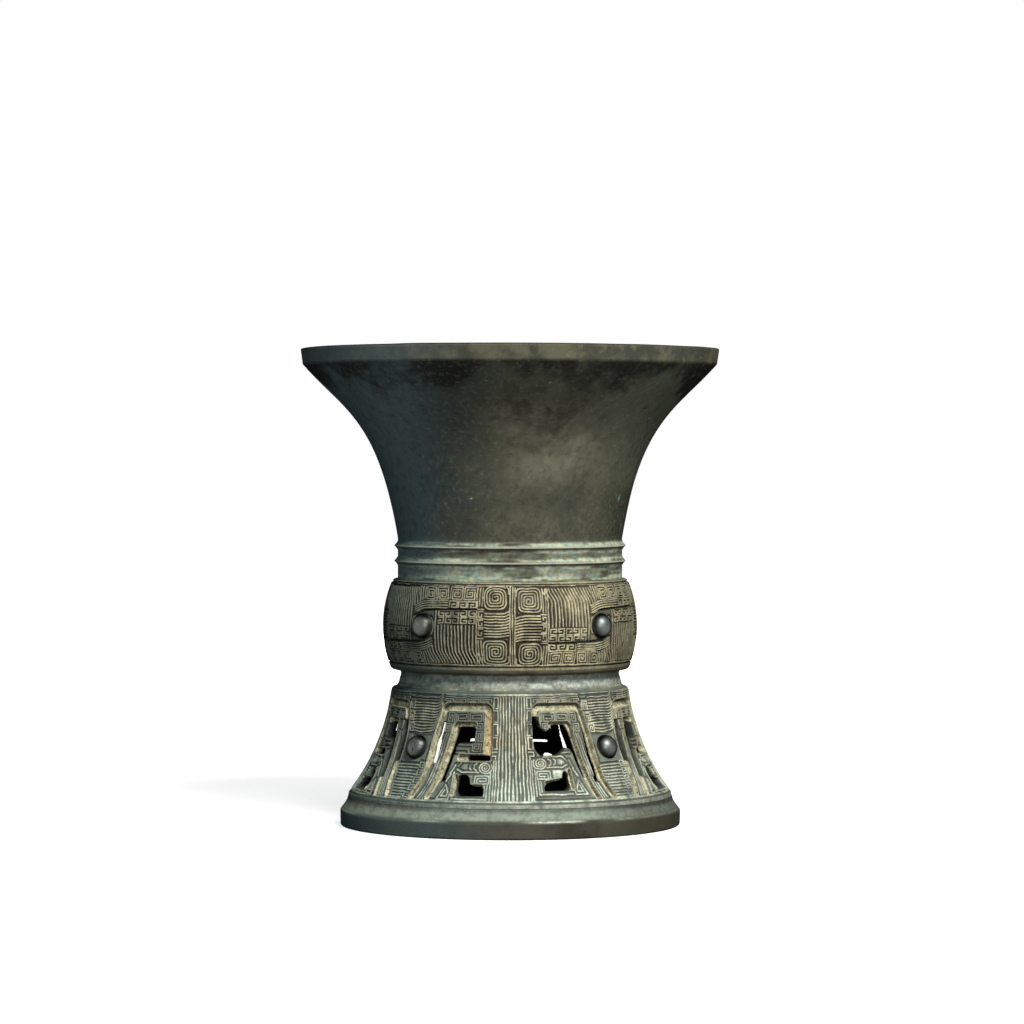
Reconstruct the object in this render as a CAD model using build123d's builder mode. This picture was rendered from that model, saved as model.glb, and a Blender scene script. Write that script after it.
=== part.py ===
from build123d import *

import os
from math import asin, cos, hypot, pi, radians, sin, sqrt

# A bronze gu vessel in millimetres: trumpet mouth, belly band, pierced foot and foot ring are separate
# castings that seat in one another, with a loose floor, set-in eye bosses and cast-in chaplets.
# The axis is Z, the table is z = 0 and the front of the vessel faces -Y.

# Heights: the whole vessel, and its sections from the table up, with the flare taking what is left
vessel_height = 165.0
ring_height = 10.2
panel_height = 37.4
waist_height = 6.2
belly_height = 31.2
neck_height = 13.8
lip_height = 5.5

# Fits between the castings: the foot and the mouth each have a spigot in the belly's sockets
clearance = 0.1
spigot_radius = 36.9
foot_spigot_height = 4.2
mouth_spigot_height = 6.0
ledge_width = 1.6

# Foot ring, with widths taken inwards from its upright face
ring_radius = 58.75
ring_face_height = 5.6
ring_bevel_width = 2.95
ring_wall = 3.4
ring_flange_width = 7.55
tongue_inset = 5.15
tongue_width = 1.6
tongue_depth = 2.2

# Pierced foot: the panel is a hollow flare of one radius, with a border below and a cove above
foot_wall = 3.0
border_height = 1.8
border_step_width = 0.1
panel_step_width = 0.5
panel_flare_radius = 76.2
shoulder_height = 1.0
shoulder_width = 0.6
cove_height = 3.0
cove_width = 2.2
waist_step_width = 1.3
waist_wall = 3.7

# Belly band: a barrel about its widest height, standing out from the spigots by its swell
belly_swell_width = 7.0
belly_widest_height = 14.9
barrel_radius = 39.6
belly_wall = 3.6
belly_bevel_width = 0.8
hollow_rise_height = 2.6

# Vessel floor
floor_thickness = 3.2

# Neck and mouth
neck_step_width = 1.85
spigot_wall = 1.7
ridge_rise_height = 1.3
ridge_half_width = 1.75
ridge_tip_width = 0.5
lower_ridge_height = 6.1
upper_ridge_height = 11.4
mouth_radius = 71.6
lip_rise_width = 0.7
lip_width = 1.6
flare_start_slope = 0.16
flare_start_length = 41.0
flare_end_slope = 0.85
flare_end_length = 17.0

# Eye bosses: a dome let into the wall, with a square tang in a blind socket
boss_radius = 4.3
boss_dome_height = 3.0
boss_sink_depth = 0.5
tang_width = 3.4
belly_tang_length = 1.8
foot_tang_length = 1.4
belly_boss_height = 16.2
belly_boss_azimuth = 44.0
foot_boss_height = 19.0
foot_boss_azimuth = 45.0

# Chaplets: square plates as thick as the wall that they held open
mouth_chaplet_width = 6.0
mouth_chaplet_height = 14.2
mouth_chaplet_azimuth = 67.5
floor_chaplet_width = 5.0
floor_chaplet_radius = 21.0
chaplet_count = 4

# Openings of the mask: azimuths in degrees from the nose, and heights above the foot ring
mask_count = 4
panel_azimuth = 23.0
cheek_inner_azimuth, cheek_outer_azimuth = 17.0, 24.9
cheek_base_height, cheek_top_height = 20.8, 26.3
slit_span = 2.3
slit_top_azimuth, slit_base_azimuth = 25.5, 28.2
slit_base_height = 7.8
slot_inner_azimuth, slot_outer_azimuth = 9.6, 19.1
slot_base_height, slot_top_height = 15.1, 16.8
jaw_inner_azimuth, jaw_step_azimuth, jaw_outer_azimuth = 11.2, 17.0, 21.8
jaw_base_height, jaw_step_height, jaw_top_height = 3.6, 6.8, 10.6
crest_span = 3.0
crest_top_azimuth, crest_base_azimuth = 33.3, 34.5
crest_base_height, crest_top_height = 13.8, 27.6

# Sunk channels of the mask: paths along their middles, by azimuth and height as for the openings
channel_depth = 1.7
outer_channel_width = 2.4
inner_channel_width = 1.8
outer_channel_leg = [(41.0, 2.6), (37.9, 7.8), (37.0, 15.8), (36.4, 23.8), (34.6, 30.8), (32.8, 32.9)]
outer_channel_brow = [(10.5, 32.9)]
outer_channel_hook = [(10.5, 16.2), (21.8, 16.2)]
inner_channel = [(34.0, 2.6), (30.8, 7.8), (28.9, 15.8), (26.9, 23.8), (26.4, 27.0), (17.4, 27.0)]

# Front right of the mask, where the horn's hook has broken away and the openings were cut higher and longer
loss_inner_azimuth, loss_finger_azimuth = 8.9, 11.3
loss_base_height, loss_finger_height = 17.0, 29.8
knob_inner_azimuth, knob_outer_azimuth = 12.4, 18.0
knob_base_height = 24.6
loss_tip_azimuth = 23.4
loss_tip_height = 19.1
high_jaw_inner_azimuth, high_jaw_step_azimuth, high_jaw_outer_azimuth = 11.8, 19.4, 22.2
high_jaw_base_height, high_jaw_step_height, high_jaw_top_height = 5.3, 8.4, 11.8
long_crest_base_azimuth, long_crest_base_height = 35.5, 7.9

# The curved sides are turned in short straight steps, so many to each curve
panel_steps = 5
lining_steps = 3
cove_steps = 2
barrel_steps = 6
hollow_steps = 3
flare_steps = 7
dome_steps = 3

# Levels where the castings meet
panel_top = ring_height + panel_height
belly_base = panel_top + waist_height
belly_top = belly_base + belly_height
neck_top = belly_top + neck_height
lip_top = vessel_height
flare_top = lip_top - lip_height
floor_base = belly_base + foot_spigot_height
floor_top = floor_base + floor_thickness
mouth_seat = belly_top - mouth_spigot_height

# Sizes that follow from the ring, the spigots, the mouth and the bosses
ring_top_radius = ring_radius - ring_bevel_width
ring_bore_radius = ring_radius - ring_flange_width
tongue_outer_radius = ring_radius - tongue_inset + tongue_width / 2
tongue_inner_radius = tongue_outer_radius - tongue_width
border_radius = ring_top_radius - border_step_width
panel_low_radius = border_radius - panel_step_width
waist_radius = spigot_radius + waist_step_width
waist_bore_radius = waist_radius - waist_wall
panel_top_radius = waist_radius + cove_width + shoulder_width
socket_radius = spigot_radius + clearance
socket_width = tang_width + 2 * clearance
ledge_radius = socket_radius - ledge_width
belly_radius = spigot_radius + belly_swell_width
neck_radius = spigot_radius + neck_step_width
bore_radius = spigot_radius - spigot_wall
ridge_radius = neck_radius + ridge_rise_height
lip_radius = mouth_radius + lip_rise_width
dome_rise = boss_dome_height + boss_sink_depth

# The panel's flare is an arc about a point outside it, and the barrel one about a point inside it
panel_base = ring_height + border_height
panel_shoulder = panel_top - shoulder_height
chord_in, chord_up = panel_low_radius - panel_top_radius, panel_shoulder - panel_base
chord = hypot(chord_in, chord_up)
arc_rise = sqrt(panel_flare_radius**2 - (chord / 2) ** 2)
panel_centre_radius = (panel_low_radius + panel_top_radius) / 2 + arc_rise * chord_up / chord
panel_centre_height = (panel_base + panel_shoulder) / 2 + arc_rise * chord_in / chord
belly_centre_radius = belly_radius - barrel_radius
belly_centre_height = belly_base + belly_widest_height

# Features that stand on a seat rise out of it or sink into it
outward = (Align.CENTER, Align.CENTER, Align.MIN)
inward = (Align.CENTER, Align.CENTER, Align.MAX)


def equal_steps(start, end, count):
    """Values that divide a span into equal steps, with both ends."""
    return [start + (end - start) * step / count for step in range(count + 1)]


def panel_wall(height, inset=0.0):
    """Radius of the foot panel at a height, or of the surface that lies an inset inside it."""
    rise = height - panel_centre_height
    return panel_centre_radius - sqrt((panel_flare_radius + inset) ** 2 - rise**2)


def belly_wall_radius(height, inset=0.0):
    """Radius of the belly at a height, or of the surface that lies an inset inside it."""
    rise = height - belly_centre_height
    return belly_centre_radius + sqrt((barrel_radius - inset) ** 2 - rise**2)


def upright_plane(azimuth, height=0.0):
    """Plane through the axis: its X runs round the vessel, its Y is up and it faces out at the azimuth."""
    turn = radians(azimuth)
    return Plane(origin=(0, 0, height), x_dir=(cos(turn), sin(turn), 0), z_dir=(sin(turn), -cos(turn), 0))


def seat_plane(azimuth, radius, height, tilt):
    """Plane on a wall at an azimuth, facing out and up by the tilt's rise over run."""
    turn = radians(azimuth)
    across = (cos(turn), sin(turn), 0)
    origin = (radius * sin(turn), -radius * cos(turn), height)
    return Plane(origin=origin, x_dir=across, z_dir=(sin(turn), -cos(turn), tilt))


def boss_seats(azimuth, radius, height, tilt):
    """Seats of the four eyes of a band, by the place that each is called by."""
    places = {
        "front_left": -azimuth,
        "front_right": azimuth,
        "back_left": azimuth - 180,
        "back_right": 180 - azimuth,
    }
    return {place: seat_plane(turn, radius, height, tilt) for place, turn in places.items()}


belly_eye_height = belly_base + belly_boss_height
belly_eye_radius = belly_wall_radius(belly_eye_height)
belly_tilt = (belly_eye_height - belly_centre_height) / (belly_eye_radius - belly_centre_radius)
belly_seats = boss_seats(belly_boss_azimuth, belly_eye_radius, belly_eye_height, belly_tilt)

foot_eye_height = ring_height + foot_boss_height
foot_eye_radius = panel_wall(foot_eye_height)
foot_tilt = (panel_centre_height - foot_eye_height) / (panel_centre_radius - foot_eye_radius)
foot_seats = boss_seats(foot_boss_azimuth, foot_eye_radius, foot_eye_height, foot_tilt)


def opening_point(azimuth, height, side):
    """Point of the panel's outer face, drawn on the upright plane at the middle of a half mask."""
    level = ring_height + height
    return side * panel_wall(level) * sin(radians(azimuth - panel_azimuth)), level


cheek_and_slit = [
    (cheek_inner_azimuth, cheek_base_height),
    (cheek_inner_azimuth, cheek_top_height),
    (cheek_outer_azimuth, cheek_top_height),
    (slit_top_azimuth + slit_span / 2, cheek_base_height),
    (slit_base_azimuth + slit_span / 2, slit_base_height),
    (slit_base_azimuth - slit_span / 2, slit_base_height),
    (slit_top_azimuth - slit_span / 2, cheek_base_height),
]
broken_cheek = [
    (loss_inner_azimuth, loss_base_height),
    (loss_inner_azimuth, loss_finger_height),
    (loss_finger_azimuth, loss_finger_height),
    (knob_inner_azimuth, cheek_top_height),
    (knob_inner_azimuth, knob_base_height),
    (knob_outer_azimuth, knob_base_height),
    (knob_outer_azimuth, cheek_top_height),
    (slit_top_azimuth, cheek_top_height),
    (slit_top_azimuth + slit_span, cheek_base_height),
    (slit_base_azimuth + slit_span / 2, slit_base_height),
    (slit_base_azimuth - slit_span / 2, slit_base_height),
    (slit_top_azimuth, loss_tip_height),
    (loss_tip_azimuth, loss_tip_height),
    (slot_outer_azimuth, loss_base_height),
]
hook_slot = [
    (slot_inner_azimuth, slot_base_height),
    (slot_outer_azimuth, slot_base_height),
    (slot_outer_azimuth, slot_top_height),
    (slot_inner_azimuth, slot_top_height),
]
jaw_opening = [
    (jaw_inner_azimuth, jaw_base_height),
    (jaw_outer_azimuth, jaw_base_height),
    (jaw_outer_azimuth, jaw_top_height),
    (jaw_step_azimuth, jaw_top_height),
    (jaw_step_azimuth, jaw_step_height),
    (jaw_inner_azimuth, jaw_step_height),
]
crest_slit = [
    (crest_base_azimuth - crest_span / 2, crest_base_height),
    (crest_base_azimuth + crest_span / 2, crest_base_height),
    (crest_top_azimuth + crest_span / 2, crest_top_height),
    (crest_top_azimuth - crest_span / 2, crest_top_height),
]
high_jaw = [
    (high_jaw_inner_azimuth, high_jaw_base_height),
    (high_jaw_outer_azimuth, high_jaw_base_height),
    (high_jaw_outer_azimuth, high_jaw_top_height),
    (high_jaw_step_azimuth, high_jaw_top_height),
    (high_jaw_step_azimuth, high_jaw_step_height),
    (high_jaw_inner_azimuth, high_jaw_step_height),
]
long_crest = [
    (long_crest_base_azimuth - crest_span / 2, long_crest_base_height),
    (long_crest_base_azimuth + crest_span / 2, long_crest_base_height),
    (crest_top_azimuth + crest_span / 2, crest_top_height),
    (crest_top_azimuth - crest_span / 2, crest_top_height),
]
whole_half = [cheek_and_slit, hook_slot, jaw_opening, crest_slit]
broken_half = [broken_cheek, high_jaw, long_crest]


def band_corners(path, width):
    """Corners of a band of even width about a path on a drawing plane, mitred where the path bends."""
    points = [Vector(*point) for point in path]
    runs = [(after - before).normalized() for before, after in zip(points[:-1], points[1:])]
    edge = []
    for point, before, after in zip(points, runs[:1] + runs, runs + runs[-1:]):
        reach = (before + after) * (width / (2 * (1 + before.dot(after))))
        edge.append((point, Vector(-reach.Y, reach.X)))
    return [point + side for point, side in edge] + [point - side for point, side in reversed(edge)]


def half_masks():
    """Halves of the masks round the foot: each one's middle plane, its side and whether it is broken."""
    for mask in range(mask_count):
        for side in (-1, 1):
            plane = upright_plane(mask * 360 / mask_count + side * panel_azimuth)
            yield plane, side, mask == 0 and side == 1



# Foot ring: an upright face, a bevel up to the foot, and a flange grooved for the foot's tongue
with BuildPart() as foot_ring:
    with BuildSketch(Plane.XZ):
        with BuildLine():
            Polyline(
                (ring_radius - ring_wall, 0),
                (ring_radius, 0),
                (ring_radius, ring_face_height),
                (ring_top_radius, ring_height),
                (tongue_outer_radius + clearance, ring_height),
                (tongue_outer_radius + clearance, ring_height - tongue_depth - clearance),
                (tongue_inner_radius - clearance, ring_height - tongue_depth - clearance),
                (tongue_inner_radius - clearance, ring_height),
                (ring_bore_radius, ring_height),
                (ring_bore_radius, ring_face_height),
                (ring_radius - ring_wall, ring_face_height),
                close=True,
            )
        make_face()
    revolve(axis=Axis.Z)

panel_levels = equal_steps(panel_base, panel_shoulder, panel_steps)
lining_levels = equal_steps(panel_shoulder, panel_base, lining_steps)
panel_side = [(panel_wall(level), level) for level in panel_levels]
panel_lining = [(panel_wall(level, foot_wall), level) for level in lining_levels]
cove = [
    (waist_radius + cove_width * (1 - sin(turn)), panel_top + cove_height * (1 - cos(turn)))
    for turn in equal_steps(0, pi / 2, cove_steps)
]

# What is sunk into the panel: bands through its wall, less all that lies deeper than the channels
with BuildPart() as channels:
    for plane, side, broken in half_masks():
        outer_channel = outer_channel_leg + outer_channel_brow + ([] if broken else outer_channel_hook)
        with BuildSketch(plane.offset(waist_bore_radius)):
            for path, width in ((outer_channel, outer_channel_width), (inner_channel, inner_channel_width)):
                middle = [opening_point(*point, side) for point in path]
                Polygon(band_corners(middle, width), align=None)
        extrude(amount=ring_radius - waist_bore_radius)
    with BuildSketch(Plane.XZ):
        with BuildLine():
            Polyline(
                (0, 0),
                (ring_radius, 0),
                (ring_radius, panel_base),
                *[(panel_wall(level, channel_depth), level) for level in panel_levels],
                (0, panel_shoulder),
                close=True,
            )
        make_face()
    revolve(axis=Axis.Z, mode=Mode.SUBTRACT)

# Pierced foot: flaring panel with its tongue below, and the waist and spigot above
with BuildPart() as openwork_foot:
    with BuildSketch(Plane.XZ):
        with BuildLine():
            Polyline(
                (panel_wall(panel_base, foot_wall), ring_height),
                (tongue_inner_radius, ring_height),
                (tongue_inner_radius, ring_height - tongue_depth),
                (tongue_outer_radius, ring_height - tongue_depth),
                (tongue_outer_radius, ring_height),
                (border_radius, ring_height),
                (border_radius, panel_base),
                *panel_side,
                *cove,
                (waist_radius, belly_base),
                (spigot_radius, belly_base),
                (spigot_radius, floor_base),
                (waist_bore_radius, floor_base),
                (waist_bore_radius, panel_top + cove_height),
                *panel_lining,
                close=True,
            )
        make_face()
    revolve(axis=Axis.Z)
    add(channels.part, mode=Mode.SUBTRACT)
    for plane, side, broken in half_masks():
        with BuildSketch(plane):
            for corners in broken_half if broken else whole_half:
                Polygon([opening_point(*corner, side) for corner in corners], align=None)
        extrude(amount=ring_radius, mode=Mode.SUBTRACT)
    with Locations(*[seat.offset(-boss_sink_depth) for seat in foot_seats.values()]):
        Cylinder(boss_radius + clearance, dome_rise, align=outward, mode=Mode.SUBTRACT)
        Box(socket_width, socket_width, foot_tang_length + clearance, align=inward, mode=Mode.SUBTRACT)

barrel_low, barrel_high = belly_base + belly_bevel_width, belly_top - belly_bevel_width
hollow_low, hollow_high = floor_top + hollow_rise_height, mouth_seat - hollow_rise_height
barrel_levels = equal_steps(barrel_low, barrel_high, barrel_steps)
hollow_levels = equal_steps(hollow_high, hollow_low, hollow_steps)
barrel = [(belly_wall_radius(level), level) for level in barrel_levels]
hollow = [(belly_wall_radius(level, belly_wall), level) for level in hollow_levels]

# Belly band: barrel outside, hollow inside, with a socket for the foot and the floor and one for the mouth
with BuildPart() as belly_band:
    with BuildSketch(Plane.XZ):
        with BuildLine():
            Polyline(
                (socket_radius, belly_base),
                (belly_wall_radius(barrel_low) - belly_bevel_width, belly_base),
                *barrel,
                (belly_wall_radius(barrel_high) - belly_bevel_width, belly_top),
                (socket_radius, belly_top),
                (socket_radius, mouth_seat - clearance),
                (ledge_radius, mouth_seat - clearance),
                *hollow,
                (ledge_radius, floor_top),
                (socket_radius, floor_top),
                close=True,
            )
        make_face()
    revolve(axis=Axis.Z)
    with Locations(*[seat.offset(-boss_sink_depth) for seat in belly_seats.values()]):
        Cylinder(boss_radius + clearance, dome_rise, align=outward, mode=Mode.SUBTRACT)
        Box(socket_width, socket_width, belly_tang_length + clearance, align=inward, mode=Mode.SUBTRACT)

# Vessel floor: a disc under the belly's ledge, with a square hole round each chaplet
with BuildPart() as vessel_floor:
    with BuildSketch(Plane.XY.offset(floor_base)):
        Circle(spigot_radius)
        with PolarLocations(floor_chaplet_radius, chaplet_count):
            Rectangle(floor_chaplet_width, floor_chaplet_width, mode=Mode.SUBTRACT)
    extrude(amount=floor_thickness)

with BuildPart() as floor_chaplets:
    with BuildSketch(Plane.XY.offset(floor_base)):
        with PolarLocations(floor_chaplet_radius, chaplet_count):
            Rectangle(floor_chaplet_width, floor_chaplet_width)
    extrude(amount=floor_thickness)


def flare_points(low, high):
    """Points up the trumpet's side from one point to another, on a curve with the flare's two slopes."""
    low_handle = low + Vector(flare_start_slope * flare_start_length, flare_start_length)
    high_handle = high - Vector(flare_end_slope * flare_end_length, flare_end_length)
    side = Bezier(low, low_handle, high_handle, high, mode=Mode.PRIVATE)
    return [side @ place for place in equal_steps(0, 1, flare_steps)]


def bow_string(height):
    """Corners of a sharp ridge round the neck at a height: two sloping flanks and a narrow tip."""
    return [
        (neck_radius, height - ridge_half_width),
        (ridge_radius, height - ridge_tip_width / 2),
        (ridge_radius, height + ridge_tip_width / 2),
        (neck_radius, height + ridge_half_width),
    ]


flare_outside = flare_points(Vector(neck_radius, neck_top), Vector(mouth_radius, flare_top))
flare_inside = flare_points(Vector(bore_radius, neck_top), Vector(lip_radius - lip_width, lip_top))

# Mouth: spigot, neck with its bow-string ridges, flare and upright lip, before the chaplets are let in
with BuildPart() as mouth_casting:
    with BuildSketch(Plane.XZ):
        with BuildLine():
            Polyline(
                (bore_radius, mouth_seat),
                (spigot_radius, mouth_seat),
                (spigot_radius, belly_top),
                (neck_radius, belly_top),
                *bow_string(belly_top + lower_ridge_height),
                *bow_string(belly_top + upper_ridge_height),
                *flare_outside,
                (lip_radius, lip_top),
                *reversed(flare_inside),
                close=True,
            )
        make_face()
    revolve(axis=Axis.Z)

chaplet_turns = [mouth_chaplet_azimuth + turn * 360 / chaplet_count for turn in range(chaplet_count)]
chaplet_planes = [upright_plane(turn, neck_top + mouth_chaplet_height) for turn in chaplet_turns]

with BuildPart() as mouth_trumpet:
    add(mouth_casting.part)
    with Locations(*chaplet_planes):
        Box(mouth_chaplet_width, mouth_chaplet_width, mouth_radius, align=outward, mode=Mode.SUBTRACT)

with BuildPart() as mouth_chaplets:
    with Locations(*chaplet_planes):
        Box(mouth_chaplet_width, mouth_chaplet_width, mouth_radius, align=outward)
    add(mouth_casting.part, mode=Mode.INTERSECT)

dome_radius = (boss_radius**2 + dome_rise**2) / (2 * dome_rise)
dome = [
    (dome_radius * sin(turn), boss_dome_height - dome_radius * (1 - cos(turn)))
    for turn in equal_steps(asin(boss_radius / dome_radius), 0, dome_steps)
]


def eye_boss(seat, tang_length):
    """Boss on a seat: a dome turned about the seat's outward axis, and the square tang under it."""
    with BuildPart() as boss:
        with BuildSketch(Plane(origin=seat.origin, x_dir=seat.x_dir, z_dir=-seat.y_dir)):
            with BuildLine():
                Polyline((0, -boss_sink_depth), *dome, close=True)
            make_face()
        revolve(axis=Axis(seat.origin, seat.z_dir))
        with BuildSketch(seat.offset(-boss_sink_depth)):
            Rectangle(tang_width, tang_width)
        extrude(amount=-tang_length)
    return boss.part


pieces = {
    "foot_ring": foot_ring.part,
    "openwork_foot": openwork_foot.part,
    "belly_band": belly_band.part,
    "vessel_floor": vessel_floor.part,
    "floor_chaplets": floor_chaplets.part,
    "mouth_trumpet": mouth_trumpet.part,
    "mouth_chaplets": mouth_chaplets.part,
}
for place, seat in belly_seats.items():
    pieces["belly_boss_" + place] = eye_boss(seat, belly_tang_length)
for place, seat in foot_seats.items():
    pieces["foot_boss_" + place] = eye_boss(seat, foot_tang_length)

os.makedirs("parts", exist_ok=True)
for name, piece in pieces.items():
    piece.label = name
    export_step(piece, f"parts/{name}.step")
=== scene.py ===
import math

import bpy
import numpy as np
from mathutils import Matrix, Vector


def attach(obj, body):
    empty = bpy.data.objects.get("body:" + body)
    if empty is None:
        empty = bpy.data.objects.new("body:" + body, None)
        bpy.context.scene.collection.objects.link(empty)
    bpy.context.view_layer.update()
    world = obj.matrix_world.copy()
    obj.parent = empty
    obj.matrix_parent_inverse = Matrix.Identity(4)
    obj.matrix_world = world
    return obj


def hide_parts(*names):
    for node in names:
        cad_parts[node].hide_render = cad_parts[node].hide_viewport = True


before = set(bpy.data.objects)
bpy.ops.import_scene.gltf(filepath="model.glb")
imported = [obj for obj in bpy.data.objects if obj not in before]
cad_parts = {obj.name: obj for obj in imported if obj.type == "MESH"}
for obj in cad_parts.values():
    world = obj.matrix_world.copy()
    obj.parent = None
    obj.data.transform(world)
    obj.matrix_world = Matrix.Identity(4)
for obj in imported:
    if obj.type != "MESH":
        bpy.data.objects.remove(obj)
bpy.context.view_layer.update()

# Sizes in millimetres, as in the solid model
RING_RADIUS, RING_FACE, RING_TOP, RING_TOP_RADIUS = 58.75, 5.6, 10.2, 55.8
RING_BORE, RING_WALL = 51.2, 3.4
PANEL_BASE, PANEL_SHOULDER, PANEL_TOP = 12.0, 46.6, 47.6
PANEL_LOW_RADIUS, PANEL_TOP_RADIUS, PANEL_FLARE = 55.2, 41.0, 76.2
BORDER_RADIUS, FOOT_WALL = 55.7, 3.0
WAIST_RADIUS, WAIST_BORE, COVE_TOP = 38.2, 34.5, 50.6
BELLY_BASE, BELLY_TOP, BELLY_MIDDLE = 53.8, 85.0, 68.7
BARREL_RADIUS, BARREL_CENTRE = 39.6, 4.3
SPIGOT, SOCKET, LEDGE = 36.9, 37.0, 35.4
FLOOR_BASE, FLOOR_TOP, MOUTH_SEAT = 58.0, 61.2, 79.0
NECK_RADIUS, BORE_RADIUS, NECK_TOP = 38.75, 35.2, 98.8
RIDGES, RIDGE_RISE, RIDGE_HALF = (91.1, 96.4), 1.3, 1.75
MOUTH_RADIUS, FLARE_TOP, LIP_RADIUS, LIP_TOP, LIP_LAND = 71.6, 159.5, 72.3, 165.0, 1.6
BOSS_RADIUS, BOSS_DOME, BOSS_SINK, BOSS_GAP = 4.3, 3.0, 0.5, 0.15
BELLY_EYE, BELLY_EYE_TURN, FOOT_EYE, FOOT_EYE_TURN = 70.0, 44.0, 29.2, 45.0
CHAPLET_HEIGHT, CHAPLET_TURN, CHAPLET_WIDTH = 113.0, 67.5, 6.0
# Handles of the flare's curve, centre of the foot wall's arc, and the azimuth its openings are cut along
FLARE_FOOT, FLARE_HEAD = (6.56, 41.0), (14.45, 17.0)
PANEL_ARC_RADIUS, PANEL_ARC_HEIGHT, CUT_TURN = 116.4, 57.4, 23.0
# Ornament of the foot: border lines, the eye's field, and how far the front right snout and jaw are raised
PANEL_BORDERS, EYE_FIELD_LOW, EYE_FIELD_HIGH, RIGHT_LIFT = (12.35, 47.25), 24.6, 33.6, 1.5
# Columns and rows of the foot's grids: half a quarter in front and a whole one behind
FRONT_GRID, BACK_GRID = (230, 194), (300, 150)
# Ornament of the belly: its mean radius, and twice the height about which a panel is the same turned over
BELLY_MEAN, BELLY_TWIN = 43.5, 140.4
# Millimetres to a degree on the two bands, and the distance that stands for nothing nearby
BELLY_SCALE, FOOT_SCALE, FAR = 0.76, 0.82, 9.0
# What every skin carries for its finish: earth (in places a painted highlight), painted shade (in hollows,
# under edges and towards the sides), ochre, bare metal and the inside
WALL_FIELDS = ("dust", "shade", "ochre", "bare", "inner")


def smooth(low, high, value):
    """Rises from 0 at low to 1 at high with level ends: 3t^2 - 2t^3."""
    t = np.clip((value - low) / (high - low), 0.0, 1.0)
    return t * t * (3.0 - 2.0 * t)


def hump(value, centre, width):
    """Bell of height 1 about a centre: exp(-((value - centre) / width)^2)."""
    return np.exp(-(((value - centre) / width) ** 2))


def rounding(distance, radius):
    """Drop of an edge that is rounded to a radius, at a distance from it: R - sqrt(R^2 - (R - d)^2)."""
    inward = radius - np.clip(distance, 0.0, radius)
    return radius - np.sqrt(radius**2 - inward**2)


def clouds(theta, z, around, tall, seed):
    """Noise from 0 to 1 on the wall: random values on a lattice of `around` cells per turn, `tall` mm high,
    blended between neighbours with the smooth step, so that it closes round the vessel."""
    rows = 64
    table = np.random.default_rng(seed).random((around, rows))
    x, y = theta / 360.0 * around, z / tall
    i, j = np.floor(x).astype(int), np.floor(y).astype(int)
    fx, fy = smooth(0, 1, x - i), smooth(0, 1, y - j)
    i0, i1, j0, j1 = i % around, (i + 1) % around, j % rows, (j + 1) % rows
    low = table[i0, j0] * (1 - fx) + table[i1, j0] * fx
    high = table[i0, j1] * (1 - fx) + table[i1, j1] * fx
    return low * (1 - fy) + high * fy


def panel_radius(z, inset=0.0):
    """Radius of the foot panel: an arc about a point outside the wall."""
    run, rise = PANEL_LOW_RADIUS - PANEL_TOP_RADIUS, PANEL_SHOULDER - PANEL_BASE
    chord = math.hypot(run, rise)
    reach = math.sqrt(PANEL_FLARE**2 - chord**2 / 4)
    centre = (PANEL_LOW_RADIUS + PANEL_TOP_RADIUS) / 2 + reach * rise / chord
    level = (PANEL_BASE + PANEL_SHOULDER) / 2 + reach * run / chord
    return centre - np.sqrt((PANEL_FLARE + inset) ** 2 - (z - level) ** 2)


def belly_radius(z, inset=0.0):
    """Radius of the belly: an arc about a point inside the wall."""
    return BARREL_CENTRE + np.sqrt((BARREL_RADIUS - inset) ** 2 - (z - BELLY_MIDDLE) ** 2)


def flare(low, high, count):
    """Points of the trumpet's side: a cubic curve between two ends, drawn out by a handle at each."""
    t = np.linspace(0.0, 1.0, count)[:, None]
    low, high = np.array(low), np.array(high)
    a, b = low + np.array(FLARE_FOOT), high - np.array(FLARE_HEAD)
    return (1 - t) ** 3 * low + 3 * (1 - t) ** 2 * t * a + 3 * (1 - t) * t**2 * b + t**3 * high


def run_of(*corners, step):
    """Corners joined by straight runs, with points no further apart than the step."""
    points = [np.array(corners[0], float)]
    for a, b in zip(corners[:-1], corners[1:]):
        count = max(1, int(math.ceil(math.dist(a, b) / step)))
        points += [np.array(a) + (np.array(b) - np.array(a)) * i / count for i in range(1, count + 1)]
    return np.array(points)


def on_wall(theta, radius, z):
    """Points at an azimuth in degrees from the front, a radius and a height."""
    turn = np.radians(theta)
    return np.stack(np.broadcast_arrays(radius * np.sin(turn), -radius * np.cos(turn), z), -1)


def grid_quads(rows, cols, wrap_rows, wrap_cols):
    """Faces of a grid whose rows climb the outside and whose columns go round, turned outwards."""
    i = np.arange(rows if wrap_rows else rows - 1)[:, None]
    j = np.arange(cols if wrap_cols else cols - 1)[None, :]
    up, on = (i + 1) % rows, (j + 1) % cols
    corners = np.broadcast_arrays(i * cols + j, i * cols + on, up * cols + on, up * cols + j)
    return np.stack(corners, -1).reshape(-1, 4)


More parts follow.
